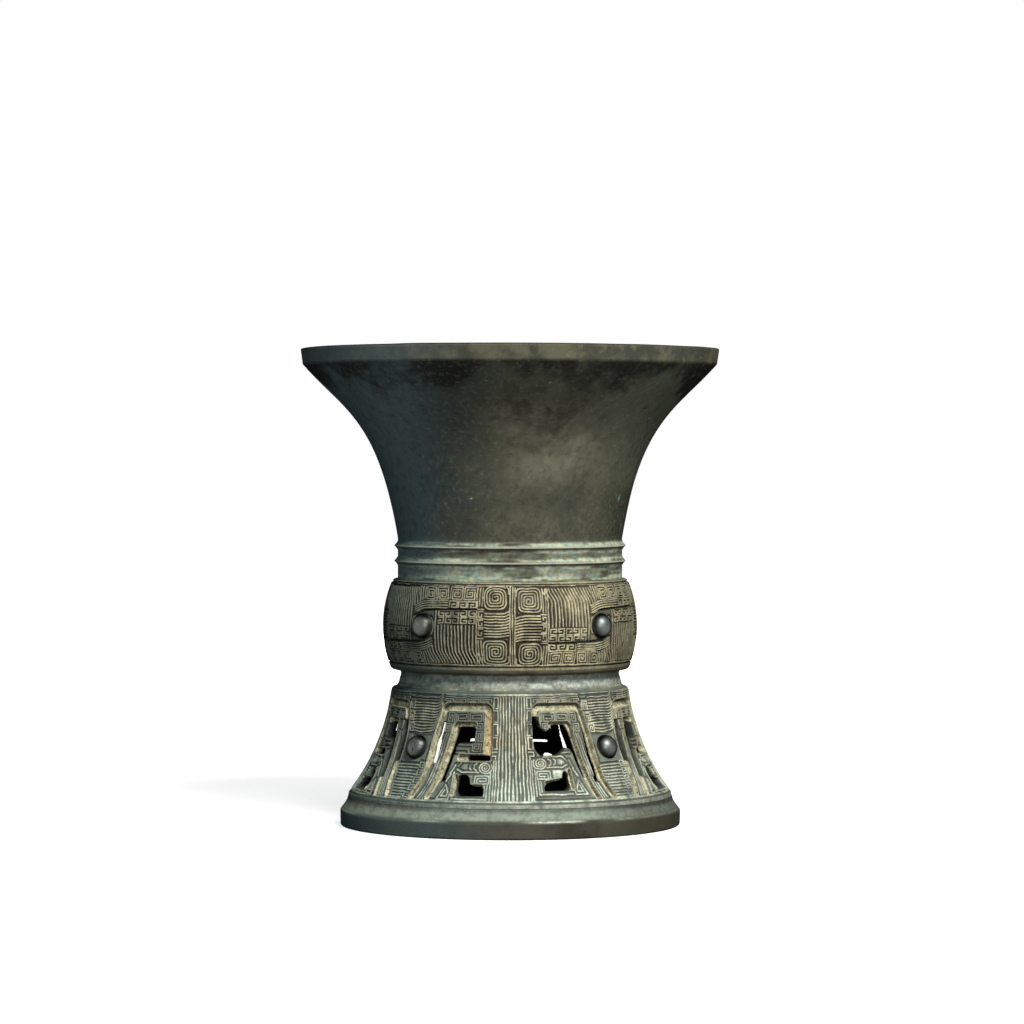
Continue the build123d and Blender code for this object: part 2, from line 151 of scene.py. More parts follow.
def add_piece(name, points, quads, material, slot, nodes, caps=(), sharp=50.0, **fields):
    """Mesh piece on the root body, in metres, with its wall fields as attributes, zero where not given."""
    mesh = bpy.data.meshes.new(name)
    points = np.asarray(points, np.float32).reshape(-1, 3) / 1000.0
    corners = np.concatenate([np.ravel(quads), *caps]).astype(np.int32)
    sizes = np.concatenate([np.full(len(quads), 4), [len(cap) for cap in caps]]).astype(np.int32)
    mesh.vertices.add(len(points))
    mesh.vertices.foreach_set("co", points.ravel())
    mesh.loops.add(len(corners))
    mesh.loops.foreach_set("vertex_index", corners)
    mesh.polygons.add(len(sizes))
    mesh.polygons.foreach_set("loop_start", (np.cumsum(sizes) - sizes).astype(np.int32))
    mesh.update(calc_edges=True)
    mesh.validate()
    mesh.polygons.foreach_set("use_smooth", np.ones(len(mesh.polygons), bool))
    mesh.set_sharp_from_angle(angle=math.radians(sharp))
    for field, values in {**dict.fromkeys(WALL_FIELDS, 0.0), **fields}.items():
        layer = mesh.attributes.new(field, "FLOAT", "POINT")
        values = np.broadcast_to(np.ravel(values), len(points))
        layer.data.foreach_set("value", np.ascontiguousarray(values, np.float32))
    mesh.materials.append(material)
    piece = bpy.data.objects.new(name, mesh)
    bpy.context.scene.collection.objects.link(piece)
    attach(piece, "root")
    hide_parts(*nodes)
    return piece


# Drawing of the cast lines: distances in millimetres on a grid of azimuths u and heights z


class Band:
    """Stretch of wall with its grid, and the distance of each grid point to the nearest drawn line."""

    def __init__(self, u, z, radius):
        self.u, self.z, self.radius = u, z, radius
        self.lines = self.blank()

    def blank(self):
        """Field on the grid with nothing nearby."""
        return np.full((len(self.z), len(self.u)), FAR)

    def scale(self, z):
        """Millimetres to a degree at a height."""
        return float(self.radius(z)) * math.pi / 180.0

    def distance(self, a, b, reach):
        """Window round a segment, and the distances to the segment there."""
        (u0, z0), (u1, z1) = a, b
        k = self.scale((z0 + z1) / 2)
        rows = slice(*np.searchsorted(self.z, (min(z0, z1) - reach, max(z0, z1) + reach)))
        cols = slice(*np.searchsorted(self.u, (min(u0, u1) - reach / k, max(u0, u1) + reach / k)))
        x, y = (self.u[None, cols] - u0) * k, self.z[rows, None] - z0
        dx, dy = (u1 - u0) * k, z1 - z0
        t = np.clip((x * dx + y * dy) / (dx * dx + dy * dy + 1e-9), 0.0, 1.0)
        return (rows, cols), np.hypot(x - t * dx, y - t * dy)

    def draw(self, points, field=None, half=0.0, reach=1.5):
        """Lowers a field to the distance from a line, less half the line's width."""
        field = self.lines if field is None else field
        for a, b in zip(points[:-1], points[1:]):
            place, d = self.distance(a, b, reach)
            np.minimum(field[place], d - half, out=field[place])

    def opening(self, corners, field):
        """Joins a polygon to a field of signed distances that is negative in the openings."""
        outline = rounded(corners, 0.75, self.scale)
        closed = outline + outline[:1]
        edge = self.blank()
        self.draw(closed, edge, reach=4.0)
        inside = np.zeros(field.shape, bool)
        z, u = self.z[:, None], self.u[None, :]
        for (u0, z0), (u1, z1) in zip(closed[:-1], closed[1:]):
            crosses = (z0 > z) != (z1 > z)
            inside ^= crosses & (u < u0 + (z - z0) / (z1 - z0 + 1e-12) * (u1 - u0))
        np.minimum(field, np.where(inside, -edge, edge), out=field)


def rounded(corners, radius, scale):
    """Polygon with each corner replaced by a short curve of about the radius."""
    made = []
    for before, corner, after in zip(corners[-1:] + corners[:-1], corners, corners[1:] + corners[:1]):
        k = scale(corner[1])
        ends = []
        for other in (before, after):
            length = math.hypot((other[0] - corner[0]) * k, other[1] - corner[1])
            share = min(radius / length, 0.48)
            ends.append([c + (o - c) * share for c, o in zip(corner, other)])
        for t in (0.0, 0.25, 0.5, 0.75, 1.0):
            weights = ((1 - t) ** 2, 2 * t * (1 - t), t * t)
            shares = [[w * c for c in point] for w, point in zip(weights, (ends[0], corner, ends[1]))]
            made.append(tuple(map(sum, zip(*shares))))
    return made


def key(left, right, low, high, gap, k, mirror=False, upside=False, lean=0.0):
    """Square spiral that fills a box, wound inwards with an even gap in millimetres; lean slants it."""
    west, east, base, top, step = left, right, low, high, gap / k
    points = [(west, base)]
    while east - west > 0.5 * step and top - base > 0.5 * gap:
        points += [(west, top), (east, top), (east, base)]
        west += step
        if east - west < 0.4 * step:
            break
        points.append((west, base))
        top, east, base = top - gap, east - step, base + gap
        if top - base < 0.3 * gap:
            break
    drawn = []
    for u, z in points:
        u = left + right - u if mirror else u
        z = low + high - z if upside else z
        drawn.append((u - lean * (z - low), z))
    return drawn


def curl(u, z, wide, tall, turns, power, k, start=0.0, hand=1.0):
    """Spiral with rounded corners: a curve |x/a|^p + |y/b|^p = s^p whose size s shrinks evenly."""
    phi = np.linspace(0.0, 2 * math.pi * turns, int(26 * turns))
    s = 1.0 - 0.92 * phi / phi[-1]
    c, d = np.cos(start + hand * phi), np.sin(start + hand * phi)
    x = wide * s * np.sign(c) * np.abs(c) ** (2 / power)
    y = tall * s * np.sign(d) * np.abs(d) ** (2 / power)
    return list(zip(u + x / k, z + y))


def by_hand(points, k):
    """Line cut into steps of about a millimetre and shaken slightly, as if cut by hand."""
    made = [points[0]]
    for (u0, z0), (u1, z1) in zip(points[:-1], points[1:]):
        count = max(1, int(math.hypot((u1 - u0) * k, z1 - z0) / 1.2))
        made += [(u0 + (u1 - u0) * i / count, z0 + (z1 - z0) * i / count) for i in range(1, count + 1)]
    u, z = np.array(made).T
    u = u + (clouds(u + 90.0, z, 120, 2.6, 71) - 0.5) * 0.5
    z = z + (clouds(u + 90.0, z, 110, 2.9, 72) - 0.5) * 0.36
    return list(zip(u, z))


def belly_half():
    """Lines of half an eye panel of the belly, as angles from the eye and heights, and its deep brow."""
    k, lines = BELLY_SCALE, []
    lines += [[(45.0, 57.2), (45.0, 83.8)], [(43.9, 57.4), (43.9, 83.6)]]
    lines.append(curl(37.2, 79.6, 4.5, 4.05, 4.3, 3.6, k, start=0.9))
    lines.append(curl(37.2, 61.6, 4.6, 4.2, 4.4, 5.0, k, start=-0.9, hand=-1.0))
    lines += [[(42.4, 83.5), (43.2, 82.6), (43.3, 81.0)], [(42.4, 57.6), (43.2, 58.4), (43.3, 60.0)]]
    for i in range(9):
        z = 66.8 + 0.98 * i
        lines.append([(32.2, z), (39.0, z - 0.1), (41.6, z + 0.05), (43.3, z + 0.5)])
    for z in (68.2, 71.2, 74.2):
        lines.append([(31.4, z + 1.0), (29.4, z + 1.0), (29.4, z - 0.9), (30.9, z - 0.9), (30.9, z)])
    for z in (66.3, 69.7, 72.7, 75.9):
        lines.append([(29.2, z), (31.6, z)])
    lines.append([(28.4, 57.6), (28.4, 78.6)])
    for q in (29.5, 30.8):
        lines += [[(q, 77.0), (q, 83.2)], [(q, 65.5), (q, 57.8)]]
    for left, right, mirror, lean in (
        (21.9, 28.2, True, 0.0), (14.6, 20.9, False, 0.0), (8.1, 13.6, False, 0.25), (1.3, 7.0, True, 0.25)
    ):
        lines.append(key(left, right, 79.2, 83.2, 0.85, k, mirror, lean=lean))
    lines += [[(0.2, 79.2), (-0.9, 83.2)], [(-1.2, 78.9), (-2.4, 83.2)], [(-2.6, 78.4), (-3.9, 83.2)]]
    for left in (14.6, 19.3, 24.0):
        right, inset = left + 4.0, left + 1.35
        hook = [(left, 76.5), (left, 78.5), (right, 78.5), (right, 76.5), (inset, 76.5), (inset, 77.5)]
        lines.append(hook + [(right - 1.3, 77.5)])
    for z in (76.3, 77.1, 77.9, 78.6):
        lines.append([(13.6, z), (4.0, z), (0.0, z - 0.3), (-3.0, z - 0.9), (-5.6, z - 1.8)])
    for row, (low, high) in enumerate(((73.6, 75.5), (71.2, 73.1))):
        for i in range(5):
            left = 9.3 + 3.86 * i
            a, b = (left, left + 2.7) if (i + row) % 2 else (left + 2.7, left)
            middle = (low + high) / 2
            lines.append([(a, high), (b, high), (b, low), (a, low), (a, middle), (left + 1.35, middle)])
    for i in range(-4, 12):
        q = 9.4 + 1.72 * i
        top = 70.4 if i >= 0 else 65.0 + 0.8 * i
        z = np.linspace(75.4 if i == -1 else top, 57.7, 14)
        lines.append(list(zip(q + 2.8 * smooth(62.5, 57.0, z), z)))
    arc = np.radians(np.linspace(-75.0, 35.0, 14))
    lines.append(list(zip(4.95 * np.cos(arc) / k, 70.0 + 4.95 * np.sin(arc))))
    brow = [(28.2, 75.9), (6.0, 75.6), (-1.0, 74.9), (-5.0, 73.6)]
    return lines, brow


def outer_leg(z):
    """Azimuth of the mask's outer channel at a height."""
    heights = (12.5, 14, 18, 22, 26, 30, 34, 38, 41)
    return np.interp(z, heights, (39.4, 38.7, 36.9, 36.2, 35.9, 35.7, 35.2, 34.1, 33.0))


def inner_leg(z):
    """Azimuth of the mask's inner channel at a height."""
    heights = (12.5, 14, 18, 22, 26, 30, 34, 37)
    return np.interp(z, heights, (32.4, 31.6, 30.1, 29.3, 28.5, 27.6, 26.7, 26.2))


def mask_lines(lift, spirals):
    """Lines of half a mask of the foot, as azimuths from its nose and heights; lift raises its snout and
    jaw, and the quills beside it end in spirals or in an upward sweep above small hooks."""
    k, lines = FOOT_SCALE, []
    for i in range(5):
        lines.append([(1.38 * i, 12.9), (1.38 * i, 46.4)])
    for low in (42.4, 38.0, 33.6, 29.2):
        lines.append(key(6.7, 8.8, low, low + 3.7, 0.8, k, mirror=True))
    lines.append([(6.7, 28.2), (8.8, 28.2), (8.8, 26.9), (6.9, 26.9), (6.9, 25.8)])
    for left, right in ((10.0, 15.4), (16.2, 21.8), (22.6, 28.2), (29.0, 33.2)):
        lines.append([(left, 44.7), (left, 45.5), (right, 45.5), (right, 44.9), (left + 1.4, 44.9)])
    lines.append([(12.5, 29.0), (12.5, 41.4), (30.8, 41.4)])
    for box in (
        (13.4, 19.6, 38.4, 41.1, 0.78), (27.3, 30.2, 38.2, 40.9, 0.78),
        (13.4, 16.0, 35.7, 37.6, 0.75), (28.6, 31.4, 34.7, 37.4, 0.8),
    ):
        lines.append(key(*box, k))
    for box in ((20.4, 26.4, 38.4, 41.1, 0.78), (13.4, 16.2, 31.6, 34.9, 0.75)):
        lines.append(key(*box, k, mirror=True))
    lines.append(key(13.6, 17.4, 28.4, 30.8, 0.75, k, upside=True))
    z = np.linspace(13.0, 34.0, 16)
    for shift in (1.6, 2.75, 3.9):
        lines.append(list(zip(inner_leg(z) + shift, z)))
    lines += [[(17.6, 30.4), (23.6, 30.4)], [(20.4, 27.9), (24.4, 27.9)]]
    snout = [curl(11.1, 23.1, 2.35, 2.1, 2.6, 2.0, k, start=2.6)]
    snout += [[(12.6, 25.2), (20.6, 25.1), (22.6, 23.6)], [(13.6, 21.6), (20.2, 21.7), (22.6, 22.6)]]
    snout.append([(14.6, 24.4), (15.6, 23.9), (15.6, 22.7), (14.6, 22.2)])
    snout.append([(16.8, 24.3), (17.6, 23.9), (17.6, 22.8), (16.8, 22.4)])
    snout.append(key(9.4, 14.8, 18.0, 20.5, 0.8, k, mirror=True))
    snout += [[(9.8, 17.4), (9.8, 13.0), (22.4, 13.0)], [(8.7, 21.4), (8.7, 12.7)]]
    triangle = [(23.6, 12.9), (28.4, 12.9), (25.8, 17.6), (24.6, 15.2), (24.6, 13.9)]
    snout += [[(10.6, 17.2), (10.6, 13.9)], triangle + [(26.8, 13.9), (25.8, 16.0)]]
    snout += [[(23.4, 21.6), (23.6, 13.0)], [(24.6, 21.0), (26.0, 18.6)], [(23.6, 24.0), (25.0, 21.2)]]
    lines += [[(u, z + lift) for u, z in line] for line in snout]
    lines += [[(7.6, 25.4), (7.6, 12.7)], [(6.7, 25.4), (6.7, 12.7)]]
    lines += [[(0.0, 46.9), (33.0, 46.9)], [(6.7, 46.2), (33.0, 46.2)]]
    for i in range(13):
        z = 34.3 + 0.96 * i
        edge = outer_leg(z) + 1.8
        if spirals:
            lines.append([(edge + (3.6 if i % 4 < 3 else 0.0), z), (46.0, z)])
        else:
            swept = [(edge, z + 1.1), (edge + 0.8, z + 0.55), (edge + 2.0, z + 0.2), (edge + 3.4, z)]
            lines.append([(u, min(level, 46.9)) for u, level in swept] + [(46.0, z)])
    for i in range(12):
        z = 12.9 + 0.94 * i
        lines.append([(outer_leg(z) + (1.8 if spirals else 4.8), z), (46.0, z)])
    if spirals:
        for z in (34.2, 38.0, 41.9):
            left = outer_leg(z + 1.0) + 1.9
            lines.append(key(left, left + 3.0, z, z + 2.6, 0.8, k))
    else:
        for z in (13.8, 16.2, 18.6, 21.0, 23.4):
            left = outer_leg(z) + 1.9
            hook = [(left, z - 0.8), (left + 2.4, z - 0.8), (left + 2.4, z + 0.8), (left, z + 0.8)]
            lines.append(hook + [(left, z), (left + 1.2, z)])
    edge_z = np.linspace(12.6, 44.0, 20)
    lines.append(list(zip(outer_leg(edge_z) + 1.5, edge_z)))
    return lines


CHEEK = [
    (17.0, 31.2), (17.0, 36.4), (24.9, 36.4), (25.9, 33.5), (26.6, 31.0), (27.7, 26.0), (29.3, 18.4),
    (27.2, 18.3), (25.5, 26.0), (24.5, 31.0),
]
SLOT = [(9.6, 25.3), (19.1, 25.3), (19.1, 27.0), (9.6, 27.0)]
JAW = [
    (10.9, 15.2), (11.4, 14.0), (20.4, 13.8), (21.9, 15.6), (22.0, 18.5), (21.4, 20.6), (18.5, 20.9),
    (17.1, 20.0), (16.4, 17.5), (15.4, 17.0), (11.2, 16.9),
]
CREST = [
    (33.3, 23.6), (35.7, 24.2), (35.6, 30.0), (35.2, 34.0), (34.2, 37.6), (32.2, 38.0), (32.5, 34.0),
    (32.7, 30.0),
]
# The front right half differs: its hook is broken, and its jaw and crest openings sit higher and run longer
LOSS = [
    (8.9, 32.0), (8.9, 40.0), (11.0, 40.0), (11.9, 37.5), (13.2, 35.6), (15.2, 34.8), (17.2, 35.6),
    (18.6, 36.9), (25.0, 36.9), (26.6, 34.5), (27.9, 30.5), (28.6, 27.0), (29.8, 19.3), (28.5, 19.3),
    (27.0, 24.0), (26.0, 28.0), (25.0, 29.2), (23.4, 29.4), (21.5, 28.0), (19.0, 26.9), (11.8, 26.9),
    (10.0, 28.4),
]
RIGHT_JAW = [
    (11.8, 15.5), (20.6, 15.5), (22.2, 17.0), (22.2, 20.6), (21.2, 22.0), (20.1, 21.6), (19.2, 18.9),
    (14.4, 18.2), (12.0, 17.5),
]
RIGHT_CREST = [
    (33.0, 18.0), (36.0, 18.2), (36.2, 22.0), (35.8, 28.0), (35.2, 34.0), (34.4, 36.3), (32.8, 36.3),
    (33.0, 32.0), (33.2, 27.0), (34.0, 22.0),
]

# The back halves as the gaps in the front show them: thinner slots, and on one side another jaw and cheek
BACK_LEFT_SLOT = [(9.6, 25.1), (18.0, 25.1), (18.0, 26.3), (9.6, 26.3)]
BACK_LEFT_CREST = [
    (30.6, 16.8), (32.9, 16.8), (33.1, 20.5), (33.8, 23.5), (33.8, 25.5), (32.6, 28.0), (32.4, 31.0),
    (32.2, 33.5), (29.9, 33.5), (29.8, 31.0), (30.2, 25.0), (30.5, 20.5),
]
BACK_RIGHT_SLOT = [(9.6, 24.9), (19.0, 24.9), (19.0, 25.9), (9.6, 25.9)]
BACK_RIGHT_CHEEK = [
    (17.0, 32.2), (17.0, 36.4), (24.9, 36.4), (25.6, 33.5), (25.6, 31.0), (25.8, 29.0), (26.5, 27.0),
    (27.2, 24.0), (27.6, 21.0), (28.9, 18.4), (26.6, 18.3), (24.9, 22.0), (24.4, 24.5), (24.0, 27.0),
    (24.3, 29.0), (24.2, 32.2),
]
BACK_RIGHT_JAW = [
    (10.9, 15.2), (11.4, 14.0), (20.4, 13.8), (21.2, 15.6), (21.0, 18.5), (20.2, 20.3), (18.8, 21.0),
    (16.4, 21.0), (15.2, 20.2), (14.6, 17.5), (13.8, 17.0), (11.2, 16.9),
]
USUAL_CUTS = (CHEEK, SLOT, JAW, CREST)
NEAR_CUTS = {0: (LOSS, RIGHT_JAW, RIGHT_CREST), 2: (CHEEK, BACK_LEFT_SLOT, JAW, BACK_LEFT_CREST)}
FAR_CUTS = {1: (BACK_RIGHT_CHEEK, BACK_RIGHT_SLOT, BACK_RIGHT_JAW, CREST)}


def half_mask(u, z, cuts, broken, spirals):
    """Fields of half a mask on its grid: distances to lines, and signed ones to channels and openings."""
    band = Band(u, z, panel_radius)
    channel, opening = band.blank(), band.blank()
    for line in mask_lines(RIGHT_LIFT if broken else 0.0, spirals):
        band.draw(by_hand(line, FOOT_SCALE))
    foot, leg, inner = np.linspace(13.5, 19.0, 6), np.linspace(19.0, 41.0, 12), np.linspace(13.4, 36.4, 13)
    bend = [(32.4, 42.2), (31.2, 43.0), (12.4, 43.1), (11.1, 42.5), (10.5, 41.2)]
    channels = [(list(zip(outer_leg(foot), foot)), 1.05)]
    channels += [(list(zip(outer_leg(leg), leg)) + bend[:2], 0.9), (bend, 1.25)]
    channels += [(list(zip(inner_leg(inner), inner)) + [(25.6, 37.2), (17.4, 37.2)], 0.9)]
    if broken:
        channels += [([(22.8, 16.4), (22.8, 22.0)], 0.5), ([(13.0, 18.3), (18.8, 19.1)], 0.6)]
    else:
        channels += [([bend[-1], (10.5, 26.6)], 1.35), ([(10.5, 26.4), (21.8, 26.4)], 1.1)]
        channels += [([(22.4, 14.4), (22.4, 20.4)], 0.5), ([(12.0, 17.2), (16.2, 17.2)], 0.6)]
    for points, half in channels:
        band.draw(points, channel, half)
    for outline in cuts:
        band.opening(outline, opening)
    return band.lines, channel, opening


def panel_outline(z):
    """Outer radius of the foot from its border up to its shoulder."""
    shelf = smooth(PANEL_BASE + 0.25, PANEL_BASE - 0.25, z)
    wall = panel_radius(np.clip(z, PANEL_BASE, PANEL_SHOULDER)) * (1 - shelf) + BORDER_RADIUS * shelf
    return wall - 0.6 * np.clip(z - PANEL_SHOULDER, 0.0, 1.0) ** 2


def foot_panel(name, index, first, last, columns, rows, material):
    """Part of a quarter of the pierced foot: a wall r = outline(z) + relief(theta, z) with its lining, left
    out where the openings are; grid points near an opening move onto its edge, and the edges are joined."""
    turn = np.linspace(first, last, columns + 1)
    z = np.linspace(RING_TOP, PANEL_TOP, rows)
    near, far = turn[turn <= 45.0], 90.0 - turn[turn > 45.0][::-1]
    parts = []
    if len(near):
        parts.append(half_mask(near, z, NEAR_CUTS.get(index, USUAL_CUTS), index == 0, True))
    if len(far):
        mask = half_mask(far, z, FAR_CUTS.get(index, USUAL_CUTS), False, False)
        parts.append([field[:, ::-1] for field in mask])
    line, channel, opening = [np.concatenate(fields, 1) for fields in zip(*parts)]
    theta = np.broadcast_to(turn + 90.0 * index, line.shape)
    height = np.broadcast_to(z[:, None], line.shape)
    scale = panel_radius(np.clip(height, PANEL_BASE, PANEL_SHOULDER)) * math.pi / 180.0
    step_up, step_on = z[1] - z[0], turn[1] - turn[0]
    cell = 0.5 * step_up + 0.4 * step_on

    # The eye's socket is a slanted field, turned the other way on alternate quarters
    side = 1.0 if index % 2 else -1.0
    across = side * (turn[None, :] - FOOT_EYE_TURN)
    slant = (height - EYE_FIELD_LOW) / (EYE_FIELD_HIGH - EYE_FIELD_LOW)
    field = np.minimum(across + 8.2 - 4.2 * slant, 4.0 + 4.2 * slant - across) * 0.8
    ends = np.minimum(height - EYE_FIELD_LOW, EYE_FIELD_HIGH - height)
    socket = np.minimum(np.minimum(field, channel - 0.9), ends)
    from_eye = np.hypot((turn[None, :] - FOOT_EYE_TURN) * scale, height - FOOT_EYE)

    # Relief: cast lines, worn ground between them, sunk channels and rounded edges
    line = np.where((socket > -0.2) | (channel < 0.45), FAR, line)
    for border in PANEL_BORDERS:
        line = np.minimum(line, np.abs(height - border))
    worn = clouds(theta, height, 48, 5.0, 11)
    ragged = line + 0.10 * (clouds(theta, height, 110, 2.6, 15) - 0.5)
    raised, crisp = smooth(0.42, 0.06, ragged), smooth(0.37, 0.10, ragged)
    ground = (1 - raised) * smooth(1.1, 0.65, line) * smooth(0.1, 0.4, channel)
    sunk = smooth(0.1, -0.2, channel)
    # Painted shadow under each channel's upper wall and along its right wall
    above = smooth(-0.25, 0.15, np.roll(channel, -round(1.0 / step_up), 0))
    beside = smooth(-0.25, 0.15, np.roll(channel, -round(0.4 / step_on), 1))
    painted_channel_shadow = sunk * np.maximum(above, (0.6 if index else 0.3) * beside)
    bare = smooth(-0.1, 0.25, socket)
    relief = -0.46 * ground * (0.75 + 0.4 * worn)
    relief -= 1.7 * sunk * (0.9 + 0.2 * clouds(theta, height, 240, 1.6, 12)) + 0.38 * bare
    relief += 0.07 * (clouds(theta, height, 300, 1.2, 13) - 0.5) + 0.12 * (worn - 0.5)
    relief -= rounding(opening, 0.7)
    relief = np.where(from_eye < BOSS_RADIUS + BOSS_GAP, -BOSS_SINK, relief)

    # Move the points beside an opening onto its edge
    rim = 0.55 * cell
    gz = np.gradient(opening, z, axis=0)
    gx = np.gradient(opening, turn, axis=1) / scale
    shift = np.where(np.abs(opening) < rim, opening / (gx**2 + gz**2 + 1e-6), 0.0)
    theta = theta - np.clip(shift * gx, -cell, cell) / scale
    height = height - np.clip(shift * gz, -cell, cell)

    # The openings are cut straight through, so the lining's points lie straight behind the outside's
    outer = on_wall(theta, panel_outline(height) + relief, height)
    bore = panel_radius(np.clip(height, PANEL_BASE, PANEL_SHOULDER), FOOT_WALL)
    middle = np.where(turn <= 45.0, CUT_TURN, 90.0 - CUT_TURN) + 90.0 * index
    lean = np.sin(np.radians(theta - middle)) * panel_outline(height) / bore
    straight = middle + np.degrees(np.arcsin(np.clip(lean, -0.99, 0.99))) - theta
    lining = on_wall(theta + straight * smooth(2.2, 0.6, opening), bore, height)
    quads = grid_quads(rows, columns + 1, False, False)
    at_corners = opening.ravel()[quads]
    quads = quads[(at_corners.min(1) > -rim) & (at_corners.max(1) > rim)]
    count = opening.size
    starts, stops = quads.ravel(), np.roll(quads, -1, 1).ravel()
    free = ~np.isin(starts * count + stops, stops * count + starts)
    a, b = starts[free], stops[free]
    faces = np.concatenate([quads, quads[:, ::-1] + count, np.stack([a, a + count, b + count, b], 1)])
    used, faces = np.unique(faces, return_inverse=True)
    points = np.concatenate([outer.reshape(-1, 3), lining.reshape(-1, 3)])[used]

    def both(values, within=0.0):
        """Field of the outside's points, and one value for the lining's."""
        outside = np.broadcast_to(values, opening.shape).ravel()
        return np.concatenate([outside, np.full(count, within)])[used]

    # Earth lies on the cast lines, thickest on the nose and snout; rust stains two places of the front
    kept = smooth(0.15, 0.6, clouds(theta, height, 150, 2.4, 14) + 0.2)
    kept = kept * (0.78 + 0.44 * clouds(theta, height, 230, 9.0, 16))
    side_turn = np.minimum(turn, 90.0 - turn)[None, :]
    signed = (theta + 180.0) % 360.0 - 180.0
    nose = smooth(8.0, 6.0, side_turn)
    face = smooth(11.5, 13.0, side_turn) * smooth(32.0, 30.5, side_turn) * smooth(27.0, 28.5, height)
    # Lines dimmer on the face and along the top; the extra dimming on the left half is painted shade
    dim = np.maximum(face, smooth(44.0, 44.8, height)) * (0.4 + 0.3 * smooth(-6.0, -12.0, signed))
    tone = 0.88 + 0.34 * nose - dim + 0.08 * smooth(28.0, 20.0, height)
    snout = hump(side_turn, 17.0, 5.5) * hump(height, 23.4, 2.6) * (0.2 + 0.9 * smooth(2.0, 8.0, signed))
    flat = (0.2 + snout + 0.25 * smooth(12.0, 11.7, height)) * smooth(0.7, 1.2, line)
    depth = (0.7 - 0.3 * smooth(28.0, 18.0, height) - 0.15 * nose) * (1 - 0.6 * snout)
    # Painted shade: the worn ground between cast lines, darkened, and the painted shadow in the channels
    shade = depth * ground + (0.75 + 0.2 * smooth(40.0, 42.0, height)) * painted_channel_shadow
    rust = hump(signed, -10.2, 2.0) * smooth(25.0, 28.0, height) * smooth(43.0, 40.0, height)
    rust = rust + 0.35 * hump(signed, 36.0, 3.0) * smooth(13.0, 16.0, height) * smooth(32.0, 24.0, height)
    return add_piece(
        name,
        points,
        faces.reshape(-1, 4),
        material,
        "foot_bronze",
        ["openwork_foot"],
        dust=both(np.maximum(crisp * tone, flat) * kept * (1 - sunk)),
        shade=both(np.clip(shade, 0.0, 1.0)),
        ochre=both(smooth(0.3, 0.05, channel)),
        rust=both(rust),
        bare=both(bare),
        # Near an opening the outside takes part of the lining's dark colour: painted shade on the cut walls
        inner=both(smooth(0.5, -0.1, opening) * 0.6, 1.0),
    )


# Places where earth part-fills the cast lines: azimuth, height, half widths in degrees and mm, and strength
BELLY_DEPOSITS = (
    (7.5, 79.6, 5.0, 4.0, 0.35), (31.0, 78.5, 9.0, 5.0, 0.8), (36.0, 69.0, 5.0, 4.0, 0.4),
    (150.0, 66.0, 10.0, 5.0, 0.6), (248.0, 75.0, 9.0, 5.0, 0.6),
)


def deposits(theta, z, places):
    """Sum of soft patches exp(-(a^2 + b^2)) at the places, with edges broken up by noise."""
    rag = 0.55 + 0.9 * clouds(theta, z, 150, 2.2, 61)
    made = 0.0
    for turn, level, wide, tall, strength in places:
        made = made + strength * hump(theta, turn, wide) * hump(z, level, tall)
    return np.clip(made * rag, 0.0, 1.0)


